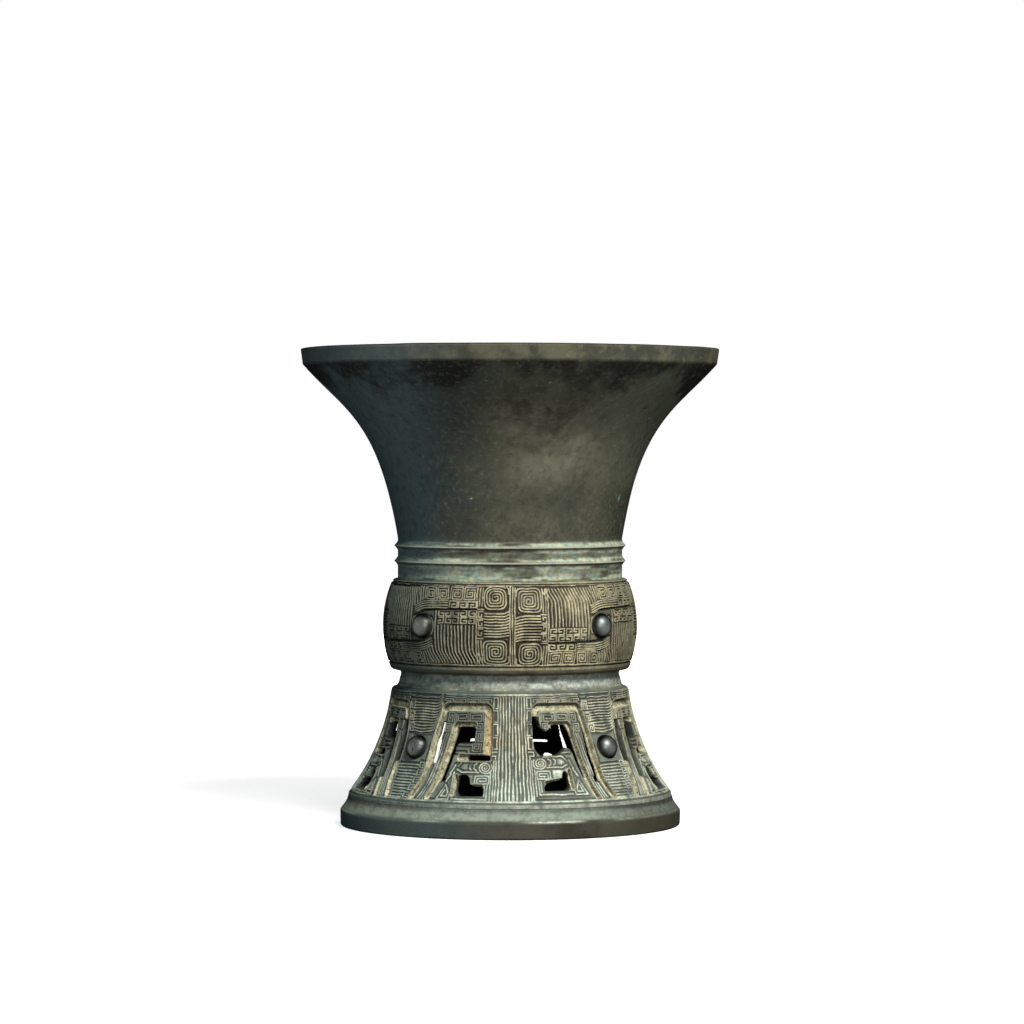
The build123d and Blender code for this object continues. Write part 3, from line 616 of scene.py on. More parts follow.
def belly_quarter(index, eye, material):
    """Quarter of the belly: the barrel r(z) with the relief of an eye panel, and its sockets inside."""
    columns, rows = 360, 190
    start = 90.0 * index
    turn = np.linspace(start, start + 90.0, columns + 1)
    z = np.linspace(BELLY_BASE, BELLY_TOP, rows)
    q = np.interp(turn, (start, eye, start + 90.0), (-45.0, 0.0, 45.0))
    band = Band(q, z, lambda level: BELLY_MEAN)
    brow = band.blank()
    lines, deep = belly_half()
    lines += [[(-a, BELLY_TWIN - b) for a, b in points] for points in lines]
    lines += [[(-45.0, level), (45.0, level)] for level in (57.0, 83.9)]
    for points in lines:
        band.draw(by_hand(points, BELLY_SCALE))
    for points in (deep, [(-a, BELLY_TWIN - b) for a, b in deep]):
        band.draw(points, brow, half=0.3)

    # Relief: cast lines, worn ground part-filled with earth, the brow's groove and the eye's sunk seat
    theta, height = np.broadcast_to(turn, brow.shape), np.broadcast_to(z[:, None], brow.shape)
    from_eye = np.hypot((turn[None, :] - eye) * BELLY_SCALE, height - BELLY_EYE)
    line = np.where(from_eye < BOSS_RADIUS + 0.25, FAR, band.lines)
    worn = clouds(theta, height, 40, 6.0, 21)
    ragged = line + 0.12 * (clouds(theta, height, 110, 2.6, 24) - 0.5)
    raised, crisp = smooth(0.42, 0.12, ragged), smooth(0.38, 0.13, ragged)
    within = smooth(56.3, 56.7, height) * smooth(84.4, 84.0, height)
    rims = np.minimum(np.abs(height - 84.1), np.abs(height - 56.5))
    ground = np.maximum(within * smooth(1.15, 0.7, line) * (1 - raised), smooth(0.35, 0.12, rims))
    filled = deposits(theta, height, BELLY_DEPOSITS)
    cut = smooth(0.25, -0.2, brow)
    relief = -0.55 * ground * (0.75 + 0.4 * worn) * (1 - 0.6 * filled) - 0.55 * cut
    relief += 0.06 * (clouds(theta, height, 300, 1.1, 22) - 0.5) + 0.14 * (worn - 0.5)
    relief -= 0.25 * smooth(5.2, 4.5, from_eye)
    relief = np.where(from_eye < BOSS_RADIUS + BOSS_GAP, -BOSS_SINK, relief)
    ends = np.minimum(height - BELLY_BASE, BELLY_TOP - height)
    outside = belly_radius(height) + relief * smooth(0.0, 0.6, ends) - rounding(ends, 0.9)

    hollow = np.linspace(76.4, 63.8, 8)
    inside = [(SOCKET, BELLY_TOP), (SOCKET, MOUTH_SEAT - 0.1), (LEDGE, MOUTH_SEAT - 0.1)]
    inside += list(zip(belly_radius(hollow, 3.6), hollow))
    inside += [(LEDGE, FLOOR_TOP), (SOCKET, FLOOR_TOP), (SOCKET, BELLY_BASE)]
    inside = np.array(inside)

    def both(values, within):
        """Grid of the outside's values, and below it the inside's, the same all round."""
        shape = (len(inside), columns + 1)
        return np.concatenate([np.broadcast_to(values, height.shape), np.broadcast_to(within, shape)])

    kept = smooth(0.1, 0.6, clouds(theta, height, 120, 3.0, 23) + 0.25)
    kept = kept * (0.8 + 0.4 * clouds(theta, height, 70, 5.0, 25))
    edge = np.maximum(hump(height, 84.6, 0.3), hump(height, 55.8, 0.4))
    dust = crisp * within * kept * (1 - cut) + 0.7 * edge + 0.6 * filled
    count = rows + len(inside)
    left = np.arange(count) * (columns + 1)
    return add_piece(
        f"belly_quarter_{index}",
        on_wall(turn[None, :], both(outside, inside[:, :1]), both(height, inside[:, 1:])),
        grid_quads(count, columns + 1, True, False),
        material,
        "belly_bronze",
        ["belly_band"],
        caps=(left, (left + columns)[::-1]),
        dust=both(np.clip(dust, 0.0, 1.0), 0.0),
        # Painted shade in the worn ground between cast lines and in the brow's groove, less where earth
        # fills it
        shade=both(np.clip(ground * (1 - 0.6 * filled) + cut, 0.0, 1.0), 0.0),
        bare=both(0.3 * smooth(5.4, 4.5, from_eye), 0.0),
        inner=both(0.0, 1.0),
    )


def turned(name, section, columns, material, slot, nodes, shape):
    """Ring turned from a closed section; shape gives its radius, height and fields from the azimuth and the
    section's points."""
    theta = np.arange(columns)[None, :] * (360.0 / columns)
    radius, level, fields = shape(theta, section[:, :1], section[:, 1:])
    points = on_wall(theta, radius, level)
    shown = {field: np.broadcast_to(values, points.shape[:2]) for field, values in fields.items()}
    quads = grid_quads(len(section), columns, True, True)
    return add_piece(name, points, quads, material, slot, nodes, sharp=40.0, **shown)


def mouth_section():
    """Section of the mouth: neck with two sharp ridges, flare, lip, lining and spigot."""
    z = np.linspace(BELLY_TOP, NECK_TOP, 90)
    ridge = sum(np.clip(1 - np.abs(z - level) / (RIDGE_HALF + 0.15), 0, 1) ** 1.7 for level in RIDGES)
    neck = np.stack([NECK_RADIUS + RIDGE_RISE * ridge, z], 1)
    outside = flare((NECK_RADIUS, NECK_TOP), (MOUTH_RADIUS, FLARE_TOP), 70)[1:]
    lip = run_of((MOUTH_RADIUS, FLARE_TOP), (LIP_RADIUS, LIP_TOP - 0.5), step=0.7)[1:]
    land = np.array([(LIP_RADIUS - 0.15, LIP_TOP - 0.15), (LIP_RADIUS - 0.5, LIP_TOP)])
    lining = flare((BORE_RADIUS, NECK_TOP), (LIP_RADIUS - LIP_LAND, LIP_TOP), 46)[::-1]
    spigot = run_of((BORE_RADIUS, NECK_TOP), (BORE_RADIUS, MOUTH_SEAT), step=6.0)[1:]
    foot = np.array([(SPIGOT, MOUTH_SEAT), (SPIGOT, BELLY_TOP)])
    section = np.concatenate([neck, outside, lip, land, lining, spigot, foot])
    return section, len(neck) + len(outside) + len(lip)


MOUTH_SECTION, MOUTH_OUTSIDE = mouth_section()
# Paler places on the flare, those on its front a painted sheen, and green spots of copper salts: as in
# BELLY_DEPOSITS
FLARE_SHEEN_AND_PALE = (
    (13.0, 124.0, 16.0, 6.5, 0.75), (-2.0, 136.2, 7.0, 1.3, 0.4), (9.0, 134.0, 8.0, 1.5, 0.4),
    (22.0, 132.0, 10.0, 2.0, 0.35), (2.0, 140.0, 14.0, 5.0, 0.25), (30.0, 130.0, 11.0, 9.0, 0.5),
    (4.0, 106.0, 16.0, 6.0, 0.3), (-16.0, 121.0, 7.0, 6.0, 0.3), (150.0, 120.0, 20.0, 8.0, 0.6),
    (-120.0, 128.0, 18.0, 6.0, 0.5), (95.0, 112.0, 15.0, 6.0, 0.5),
)
NECK_GREENS = (
    (-26.0, 86.2, 2.6, 0.35, 1.0), (33.0, 93.4, 1.4, 0.3, 0.8), (-8.0, 92.4, 1.0, 0.3, 0.6),
    (48.0, 86.6, 2.2, 0.4, 0.6), (62.5, 113.0, 0.8, 0.55, 1.1), (-140.0, 87.0, 3.0, 0.5, 0.9),
    (170.0, 92.6, 2.0, 0.4, 0.9), (118.0, 98.0, 1.5, 0.4, 0.9),
)


def mouth_shape(theta, radius, z):
    """Mouth with an uneven rim, slight dents in the flare, deposits beside the ridges that below each ridge
    are partly painted light, a painted shadow under each ridge, and painted sheen on the flare's front.
    """
    outside = (np.arange(len(z)) < MOUTH_OUTSIDE)[:, None]
    upper = smooth(140.0, 165.0, z)
    rim = np.full_like(z, 3.0)
    wave = clouds(theta, rim, 14, 10.0, 31) * 0.2 + clouds(theta, rim, 40, 10.0, 32) * 0.15
    wave = wave + 0.3 - 0.3 * np.cos(np.radians(2.0 * theta + 20.0))
    dents = (clouds(theta, z, 16, 17.0, 33) - 0.5) * 0.25
    dents = dents * smooth(100.0, 112.0, z) * smooth(164.0, 150.0, z)
    shell = radius + dents - 0.25 * upper * clouds(theta, rim, 10, 10.0, 34)

    def by_ridges(above, width):
        """Bells a little above each ridge, or below it."""
        return sum(hump(z, ridge + above, width) for ridge in RIDGES)

    # Earth above each ridge; the earth below each ridge is partly painted light on its down-facing side
    earth = by_ridges(1.1, 0.7) + 1.2 * by_ridges(-1.3, 0.5) + 1.3 * hump(z, 85.9, 0.6)
    earth = earth + 0.6 * smooth(91.0, 86.0, z) + 0.25 * smooth(98.5, 97.0, z)
    patchy = clouds(theta, z, 46, 0.8, 35) * 0.5 + clouds(theta, z, 130, 0.6, 37) * 0.25
    patchy = patchy + clouds(theta, z, 15, 6.0, 36) * 0.5
    signed = (theta + 180.0) % 360.0 - 180.0
    fields = {
        # Painted sheen on the flare's front and paler patina elsewhere
        "sheen_and_pale": deposits(signed, z, FLARE_SHEEN_AND_PALE),
        "green": deposits(signed, z, NECK_GREENS),
        "dust": np.clip(earth * smooth(0.25, 0.95, patchy), 0.0, 1.0),
        # Painted shadow: a dark line just under each ridge
        "shade": 0.8 * by_ridges(-0.5, 0.22),
        "ochre": smooth(158.8, 160.2, z),
        "bare": by_ridges(0.1, 0.3),
    }
    shown = {field: outside * values for field, values in fields.items()}
    return shell, z - wave * upper, {**shown, "inner": ~outside}


def waist_section():
    """Section of the foot's top: shoulder, cove, waist and the spigot that enters the belly."""
    turn = np.linspace(0.0, math.pi / 2, 12)
    cove = np.stack([WAIST_RADIUS + 2.2 * (1 - np.sin(turn)), PANEL_TOP + 3.0 * (1 - np.cos(turn))], 1)
    waist = run_of((WAIST_RADIUS, COVE_TOP), (WAIST_RADIUS, BELLY_BASE), (SPIGOT, BELLY_BASE), step=0.4)[1:]
    rest = [(SPIGOT, FLOOR_BASE), (WAIST_BORE, FLOOR_BASE), (WAIST_BORE, COVE_TOP)]
    rest.append((float(panel_radius(PANEL_SHOULDER, FOOT_WALL)), PANEL_TOP))
    return np.concatenate([cove, waist, np.array(rest)])


def waist_shape(theta, radius, z):
    """Waist with a slight roll, pale earth along its cove whose brightest band is a painted highlight, and
    a painted shadow under the belly.
    """
    outside = radius > SPIGOT + 0.5
    rag = 0.6 * clouds(theta, z, 260, 0.7, 41) + 0.5 * clouds(theta, z, 60, 1.5, 42)
    # Pale earth on the cove; its bright band at 50.3 mm is a painted highlight
    earth = (0.5 + 0.45 * hump(z, 50.3, 1.0)) * smooth(48.5, 49.5, z)
    roll = -0.5 * outside * np.sin(np.clip((z - COVE_TOP) / (BELLY_BASE - COVE_TOP), 0, 1) * math.pi)
    return radius + roll, z, {
        "dust": outside * earth * smooth(-0.1, 0.9, rag),
        # Painted shadow just under the belly's overhang
        "shade": outside * 0.5 * smooth(53.0, 53.7, z),
        "ochre": outside * 0.7 * hump(z, 48.7, 0.28) * smooth(0.3, 0.8, rag),
        "inner": ~outside,
    }


def ring_section():
    """Section of the foot ring: upright face with rounded edges, bevel, flange and hollow."""
    turn = np.linspace(-math.pi / 2, 0.0, 6)
    heel = np.stack([RING_RADIUS - 0.8 + 0.8 * np.cos(turn), 0.8 + 0.8 * np.sin(turn)], 1)
    face = run_of((RING_RADIUS, 0.8), (RING_RADIUS, RING_FACE - 0.5), step=0.4)[1:]
    brow = np.array([(RING_RADIUS - 0.12, RING_FACE - 0.1), (RING_RADIUS - 0.45, RING_FACE + 0.25)])
    bevel = run_of((RING_RADIUS - 0.8, RING_FACE + 0.75), (RING_TOP_RADIUS + 0.1, RING_TOP), step=0.35)
    rest = [(RING_BORE, RING_TOP), (RING_BORE, RING_FACE), (RING_RADIUS - RING_WALL, RING_FACE)]
    rest.append((RING_RADIUS - RING_WALL, 0.0))
    return np.concatenate([heel, face, brow, bevel, np.array(rest)])


def ring_shape(theta, radius, z):
    """Foot ring with a worn, uneven face and pale earth on its bevel, darker at the top of its bevel, with
    painted shade towards its sides and a bright line on the bevel's lower edge that is partly painted
    highlight, partly a rubbed edge.
    """
    outside = radius > RING_TOP_RADIUS
    uneven = (clouds(theta, z, 30, 4.0, 51) - 0.75) * 0.35 * outside
    uneven = uneven * smooth(0.0, 1.0, z) * smooth(10.2, 9.4, z)
    hollow = -0.3 * np.sin(np.clip((z - 6.4) / 3.8, 0, 1) * math.pi) * outside
    rag = 0.6 * clouds(theta, z, 300, 0.6, 52) + 0.5 * clouds(theta, z, 60, 1.8, 53)
    # Bright line along the bevel's lower edge: partly painted highlight, partly a rubbed edge
    bright = hump(z, 5.95, 0.35) * smooth(0.2, 0.55, clouds(theta, z * 0, 24, 3.0, 54))
    crust = 0.7 * smooth(6.2, 6.8, z) * smooth(8.8, 7.2, z) * smooth(0.3, 0.8, rag)
    crust = crust + 0.3 * smooth(7.5, 8.5, z) * smooth(0.5, 0.9, rag)
    side = radius * np.sin(np.radians(theta))
    # Painted shade towards the right side, and on the bevel towards both sides
    right = 0.5 * smooth(20.0, 52.0, side) + 0.2 * smooth(12.0, 48.0, np.abs(side)) * smooth(6.0, 6.6, z)
    return radius + uneven + hollow, z, {
        "dust": outside * np.clip(crust * smooth(10.2, 9.9, z) + bright, 0.0, 1.0),
        "shade": outside * np.clip(smooth(9.9, 10.2, z) + 0.5 * smooth(8.2, 9.6, z) + right, 0.0, 1.0),
        "ochre": outside * smooth(6.0, 6.7, z),
        "inner": ~outside,
    }


def boss(band, place, theta, radius, z, tilt, material, dent=0.0):
    """Eye boss: a dome r(a) = (R sin a, R cos a) turned about the wall's normal, with a flat underside."""
    rings, sides = 21, 64
    rise = BOSS_DOME + BOSS_SINK
    dome = (BOSS_RADIUS**2 + rise**2) / (2 * rise)
    angle = np.linspace(math.asin(BOSS_RADIUS / dome), 0.0, rings + 1)[:-1, None]
    phi = np.linspace(0.0, 2 * math.pi, sides, endpoint=False)[None, :]
    x, y = dome * np.sin(angle) * np.cos(phi), dome * np.sin(angle) * np.sin(phi)
    h = BOSS_DOME - dome * (1 - np.cos(angle)) - dent * hump(x, 0.4, 0.65) * hump(y, -1.7, 0.8)
    turn = math.radians(theta)
    out = np.array((math.sin(turn), -math.cos(turn), tilt)) / math.hypot(1.0, tilt)
    right = np.array((math.cos(turn), math.sin(turn), 0.0))
    up = np.cross(out, right)
    origin = np.array((radius * math.sin(turn), -radius * math.cos(turn), z))
    points = origin + x[..., None] * right + y[..., None] * up + h[..., None] * out
    crown, last = rings * sides, (rings - 1) * sides
    caps = [(last + i, last + (i + 1) % sides, crown) for i in range(sides)] + [np.arange(sides)[::-1]]
    return add_piece(
        f"{band}_eye_{place}",
        np.concatenate([points.reshape(-1, 3), [origin + BOSS_DOME * out]]),
        grid_quads(rings, sides, False, True),
        material,
        "boss_bronze",
        [f"{band}_boss_{place}"],
        caps=caps,
        dust=np.append(smooth(0.3, -0.5, h), 0.0),
        # Light crown to dark sides; the dark sides are painted shade
        bare=np.append(smooth(0.4, 2.7, h), 1.0),
    )


def chaplet_plates(material):
    """Four square plates flush in the flare: each a small grid over the wall's outside and lining."""
    side, plates = 9, 4
    outside = flare((NECK_RADIUS, NECK_TOP), (MOUTH_RADIUS, FLARE_TOP), 200)
    lining = flare((BORE_RADIUS, NECK_TOP), (LIP_RADIUS - LIP_LAND, LIP_TOP), 200)
    spread = np.linspace(-0.5, 0.5, side) * CHAPLET_WIDTH
    z = CHAPLET_HEIGHT + spread[:, None]
    r_out = np.interp(z, outside[:, 1], outside[:, 0]) + 0.03
    r_in = np.interp(z, lining[:, 1], lining[:, 0]) - 0.16
    level, radius = np.concatenate([z, z[::-1]]), np.concatenate([r_out, r_in[::-1]])
    turn = CHAPLET_TURN + np.degrees(spread / r_out.mean())[None, :]
    points = [on_wall(turn + 90.0 * i, radius, level).reshape(-1, 3) for i in range(plates)]
    firsts = [i * len(points[0]) for i in range(plates)]
    quads = grid_quads(2 * side, side, True, False)
    edge = np.arange(2 * side) * side
    return add_piece(
        "flare_chaplets",
        np.concatenate(points),
        np.concatenate([quads + first for first in firsts]),
        material,
        "chaplet_bronze",
        ["mouth_chaplets"],
        caps=[cap + first for first in firsts for cap in (edge, (edge + side - 1)[::-1])],
        inner=np.tile(np.repeat((0.0, 0.9), side * side), plates),
    )


# Materials


class Nodes:
    """Short names for building the node tree of a material or the world."""

    def __init__(self, name, kind=bpy.data.materials):
        self.material = kind.new(name)
        self.material.use_nodes = True
        self.tree = self.material.node_tree
        self.tree.nodes.clear()

    def new(self, kind, inputs=None, **settings):
        """Node of a kind with its settings; inputs gives each named socket an output to join or a value."""
        node = self.tree.nodes.new(kind)
        for setting, value in settings.items():
            setattr(node, setting, value)
        for name, value in (inputs or {}).items():
            if isinstance(value, bpy.types.NodeSocket):
                self.tree.links.new(value, node.inputs[name])
            else:
                node.inputs[name].default_value = value
        return node

    def place(self):
        """Point of the surface in the object's own coordinates."""
        return self.new("ShaderNodeTexCoord").outputs["Object"]

    def noise(self, size, detail=4.0, rough=0.55, seed=0.0, stretch=(1.0, 1.0, 1.0)):
        """Noise from 0 to 1 with features of a size in millimetres."""
        start = (seed, seed * 1.7, seed * 0.6)
        shift = self.new("ShaderNodeMapping", {"Vector": self.place(), "Location": start, "Scale": stretch})
        inputs = {"Vector": shift.outputs[0], "Scale": 1000.0 / size, "Detail": detail, "Roughness": rough}
        return self.new("ShaderNodeTexNoise", inputs).outputs[0]

    def field(self, name):
        """Field of the wall that the mesh carries as an attribute."""
        return self.new("ShaderNodeAttribute", attribute_name=name).outputs["Fac"]

    def axis(self, name, low, high, rag=None):
        """Rises from 0 to 1 along an axis of the object, in millimetres; rag is noise that shifts it."""
        value = self.new("ShaderNodeSeparateXYZ", {0: self.place()}).outputs[name]
        if rag is not None:
            value = self.math("ADD", value, self.math("SUBTRACT", self.times(rag, 0.08), 0.04))
        return self.ramp(value, low / 1000.0, high / 1000.0)

    def ramp(self, value, low, high, first=0.0, last=1.0):
        """Goes smoothly from first to last as the value goes from low to high."""
        inputs = dict(enumerate((value, low, high, first, last)))
        return self.new("ShaderNodeMapRange", inputs, interpolation_type="SMOOTHSTEP").outputs[0]

    def math(self, operation, a, b):
        """Result of a maths operation on two values."""
        return self.new("ShaderNodeMath", {0: a, 1: b}, operation=operation).outputs[0]

    def times(self, *values):
        """Product of values."""
        made = values[0]
        for value in values[1:]:
            made = self.math("MULTIPLY", made, value)
        return made

    def mix(self, factor, a, b):
        """Colour a where the factor is 0 and colour b where it is 1."""
        a, b = [(*color, 1.0) if isinstance(color, tuple) else color for color in (a, b)]
        return self.new("ShaderNodeMix", {0: factor, 6: a, 7: b}, data_type="RGBA").outputs[2]

    def coats(self, color, *layers):
        """Lays colours over a first one in turn, each as thick as the product of the factors after it."""
        for tint, *factors in layers:
            color = self.mix(self.times(*factors), color, tint)
        return color

    def blend(self, factor, a, b):
        """Number a where the factor is 0 and number b where it is 1."""
        return self.new("ShaderNodeMix", {0: factor, 2: a, 3: b}, data_type="FLOAT").outputs[0]

    def shown(self):
        """One for rays that show the background: from the camera, a reflection or through a clear thing."""
        path = self.new("ShaderNodeLightPath")
        rays = [path.outputs[name] for name in ("Is Camera Ray", "Is Glossy Ray", "Is Transmission Ray")]
        return self.math("MAXIMUM", self.math("MAXIMUM", rays[0], rays[1]), rays[2])

    def pick(self, factor, a, b, output):
        """Output that takes shader a where the factor is 0 and shader b where it is 1."""
        choice = self.new("ShaderNodeMixShader", {0: factor, 1: a.outputs[0], 2: b.outputs[0]})
        self.new(output, {"Surface": choice.outputs[0]})

    def finish(self, color, roughness, metallic, height, depth, specular=0.5, edge=1.0):
        """Material with bumps of a depth in millimetres; edge is the tint of its grazing shine."""
        bump = self.new("ShaderNodeBump", {"Height": height, "Strength": 1.0, "Distance": depth / 1000.0})
        inputs = {
            "Base Color": color,
            "Roughness": roughness,
            "Metallic": metallic,
            "Specular IOR Level": specular,
            "Specular Tint": (edge, edge, edge, 1.0),
            "Normal": bump.outputs[0],
        }
        shader = self.new("ShaderNodeBsdfPrincipled", inputs)
        self.new("ShaderNodeOutputMaterial", {"Surface": shader.outputs[0]})
        return self.material


def mouth_bronze(name):
    """Dark olive-brown patina in clouds with ragged edges; painted shade that is bluer and darker to the
    left, darker on the right of the stem and darkest under the lip; painted sheen on paler places of the
    flare;
    a mottled lip, pale earth beside the ridges and specks of green and yellow."""
    n = Nodes(name)
    cloud = n.noise(34.0, 6.0, 0.62, 3.0)
    ragged = n.noise(26.0, 9.0, 0.6, 13.0)
    fine = n.noise(3.0, 5.0, 0.6, 1.0)
    spots = n.noise(1.6, 3.0, 0.6, 8.0)
    border = n.times(n.ramp(ragged, 0.49, 0.52), n.ramp(ragged, 0.55, 0.52))
    mottle = n.noise(11.0, 5.0, 0.65, 21.0)
    lip = n.coats(
        n.mix(n.ramp(mottle, 0.4, 0.6), (0.040, 0.042, 0.033), (0.080, 0.078, 0.054)),
        ((0.13, 0.12, 0.055), n.ramp(n.noise(7.0, 4.0, 0.6, 27.0), 0.6, 0.7), 0.5),
        # Painted shade: the lip bluer towards the left
        ((0.085, 0.115, 0.125), n.axis("X", -10.0, -60.0), 0.6),
    )
    earth = n.mix(n.ramp(fine, 0.4, 0.65), (0.39, 0.42, 0.30), (0.27, 0.35, 0.29))
    specks = n.times(n.ramp(spots, 0.70, 0.76), n.ramp(n.noise(20.0, 2.0, 0.5, 31.0), 0.5, 0.62))
    lining = n.coats(
        n.mix(n.ramp(cloud, 0.38, 0.62), (0.016, 0.016, 0.013), (0.040, 0.039, 0.030)),
        ((0.030, 0.040, 0.034), n.ramp(ragged, 0.5, 0.6), 0.5),
    )
    color = n.coats(
        n.mix(n.ramp(cloud, 0.38, 0.62), (0.037, 0.038, 0.029), (0.068, 0.069, 0.050)),
        ((0.032, 0.030, 0.022), n.ramp(ragged, 0.52, 0.56), 0.45),
        ((0.095, 0.095, 0.070), border, 0.3),
        ((0.062, 0.064, 0.048), n.ramp(fine, 0.45, 0.7), 0.4),
        # Painted sheen on the flare's front and paler patina elsewhere
        ((0.125, 0.125, 0.090), n.field("sheen_and_pale"), n.ramp(fine, 0.3, 0.6, 0.6, 1.0)),
        # Painted light and shade by side: darker and bluer to the left, lighter and bluer at the far left,
        # lighter olive towards the right and darker on the right of the stem
        ((0.030, 0.028, 0.021), n.axis("X", 14.0, -18.0), 0.35),
        ((0.032, 0.043, 0.042), n.axis("X", -6.0, -34.0, ragged), 0.8),
        ((0.078, 0.112, 0.118), n.axis("X", -18.0, -42.0), n.ramp(fine, 0.3, 0.7, 0.6, 0.85)),
        ((0.084, 0.096, 0.068), n.axis("X", 24.0, 60.0), 0.6),
        ((0.018, 0.020, 0.013), n.axis("X", 16.0, 40.0), n.axis("Z", 124.0, 112.0), 0.7),
        # Painted shade: darkest under the lip, where the flare faces down
        ((0.013, 0.014, 0.012), n.axis("Z", 143.0, 159.0, ragged), 0.9),
        ((0.135, 0.14, 0.11), n.ramp(spots, 0.48, 0.72), n.ramp(cloud, 0.4, 0.6, 0.12, 0.3)),
        ((0.015, 0.016, 0.013), n.ramp(fine, 0.48, 0.30), 0.25),
        (lip, n.field("ochre"), 0.9),
        (earth, n.field("dust"), n.ramp(spots, 0.3, 0.6, 0.5, 1.0), 0.82),
        # Painted shade: the neck bluer towards the left
        ((0.060, 0.100, 0.106), n.axis("X", -16.0, -37.0), n.axis("Z", 101.0, 98.0), 0.5),
        ((0.34, 0.32, 0.15), specks, 0.8),
        ((0.016, 0.015, 0.011), n.field("shade"), 0.75),
        ((0.30, 0.29, 0.24), n.field("bare"), 0.7),
        ((0.07, 0.25, 0.17), n.field("green")),
        (lining, n.field("inner")),
    )
    rough = n.blend(n.ramp(fine, 0.3, 0.7), 0.36, 0.5)
    rough = n.blend(n.field("dust"), rough, 0.75)
    return n.finish(color, rough, 0.0, n.math("ADD", fine, n.times(spots, 0.5)), 0.06, 0.0)


# Ochre of the sunk channels, pale and dark, and the blue of the painted shade on the left side
OCHRES = ((0.38, 0.36, 0.245), (0.21, 0.208, 0.135))
LEFT_SHADE_BLUE = (0.031, 0.055, 0.053)


def lined_bronze(
    name, ground, green, earths, seed, ochres=OCHRES, pits=0.8, left_shade_tint=LEFT_SHADE_BLUE, left=0.75, right=0.7
):
    """Patina of the cast bands: dark ground in clouds, pale earth with streaks of rust on the cast lines
    and ochre in the sunk channels, with painted shade from the shade field, and as painted shade all bluer
    and darker towards the left and browner towards the right."""
    n = Nodes(name)
    cloud = n.noise(17.0, 4.0, 0.6, 2.0 + seed)
    fine = n.noise(2.2, 4.0, 0.6, 4.0 + seed)
    grain = n.noise(0.9, 2.0, 0.6, 9.0 + seed)
    tarnish = n.noise(7.0, 4.0, 0.65, 6.0 + seed)
    streak = n.noise(2.6, 3.0, 0.6, 15.0 + seed, (1.0, 1.0, 0.16))
    grit = n.ramp(grain, 0.36, 0.56, 0.72, 1.08)
    earth = n.coats(
        n.mix(n.ramp(cloud, 0.4, 0.62), *earths),
        ((0.43, 0.51, 0.44), n.axis("Z", 32.0, 20.0), 0.65),
        ((0.40, 0.46, 0.43), n.axis("Z", 47.0, 48.5), n.axis("Z", 54.0, 53.0), 0.75),
        ((0.27, 0.185, 0.115), n.ramp(streak, 0.52, 0.66), 0.5),
    )
    ochre = n.coats(
        n.mix(n.ramp(fine, 0.40, 0.62), *ochres),
        ((0.40, 0.215, 0.075), n.field("rust"), n.ramp(grain, 0.42, 0.56), 0.8),
        ((0.07, 0.060, 0.034), n.ramp(grain, 0.52, 0.66), pits),
    )
    lining = n.mix(n.ramp(cloud, 0.4, 0.6), (0.009, 0.009, 0.008), (0.015, 0.015, 0.012))
    color = n.coats(
        n.mix(n.ramp(cloud, 0.36, 0.64), *ground),
        (green, n.ramp(tarnish, 0.5, 0.68), 0.6),
        (earth, n.field("dust"), n.ramp(fine, 0.28, 0.6, 0.45, 1.0), grit),
        # Painted light and shade by side: bluer to the left, browner to the right
        (left_shade_tint, n.axis("X", 4.0, -42.0), left),
        ((0.050, 0.053, 0.034), n.axis("X", 22.0, 43.0), right),
        (ochre, n.field("ochre")),
        # Painted shade from the shade field: hollows, undersides, channel walls and sides
        ((0.016, 0.015, 0.012), n.field("shade"), 0.85),
        ((0.085, 0.100, 0.092), n.field("bare"), 0.75),
        (lining, n.field("inner")),
    )
    rough = n.blend(n.ramp(fine, 0.3, 0.7), 0.42, 0.58)
    rough = n.blend(n.math("MAXIMUM", n.field("dust"), n.field("ochre")), rough, 0.85)
    return n.finish(color, rough, 0.0, n.math("ADD", fine, n.times(grain, 0.6)), 0.1, 0.0)


def boss_bronze():
    """Grey-brown metal, rubbed light on its crown and dark down its sides as painted shade, and dusty round
    its edge.
    """
    n = Nodes("boss_bronze")
    cloud = n.noise(6.0, 4.0, 0.6, 1.0)
    crown = n.mix(n.ramp(cloud, 0.35, 0.65), (0.070, 0.076, 0.073), (0.105, 0.112, 0.106))
    # Dark sides to a light crown; the dark sides are painted shade
    color = n.mix(n.field("bare"), (0.012, 0.014, 0.013), crown)
    color = n.coats(color, ((0.11, 0.10, 0.06), n.field("dust"), 0.5))
    rough = n.blend(n.ramp(cloud, 0.3, 0.7), 0.36, 0.44)
    return n.finish(color, rough, 1.0, n.noise(0.8, 3.0, 0.6, 2.0), 0.004, edge=0.0)


def inner_bronze():
    """Crusted dark floor of the vessel."""
    n = Nodes("inner_bronze")
    cloud = n.noise(12.0, 5.0, 0.6, 2.0)
    color = n.mix(n.ramp(cloud, 0.35, 0.65), (0.012, 0.012, 0.010), (0.035, 0.036, 0.028))
    return n.finish(color, n.blend(cloud, 0.6, 0.8), 0.0, cloud, 0.15, 0.0)


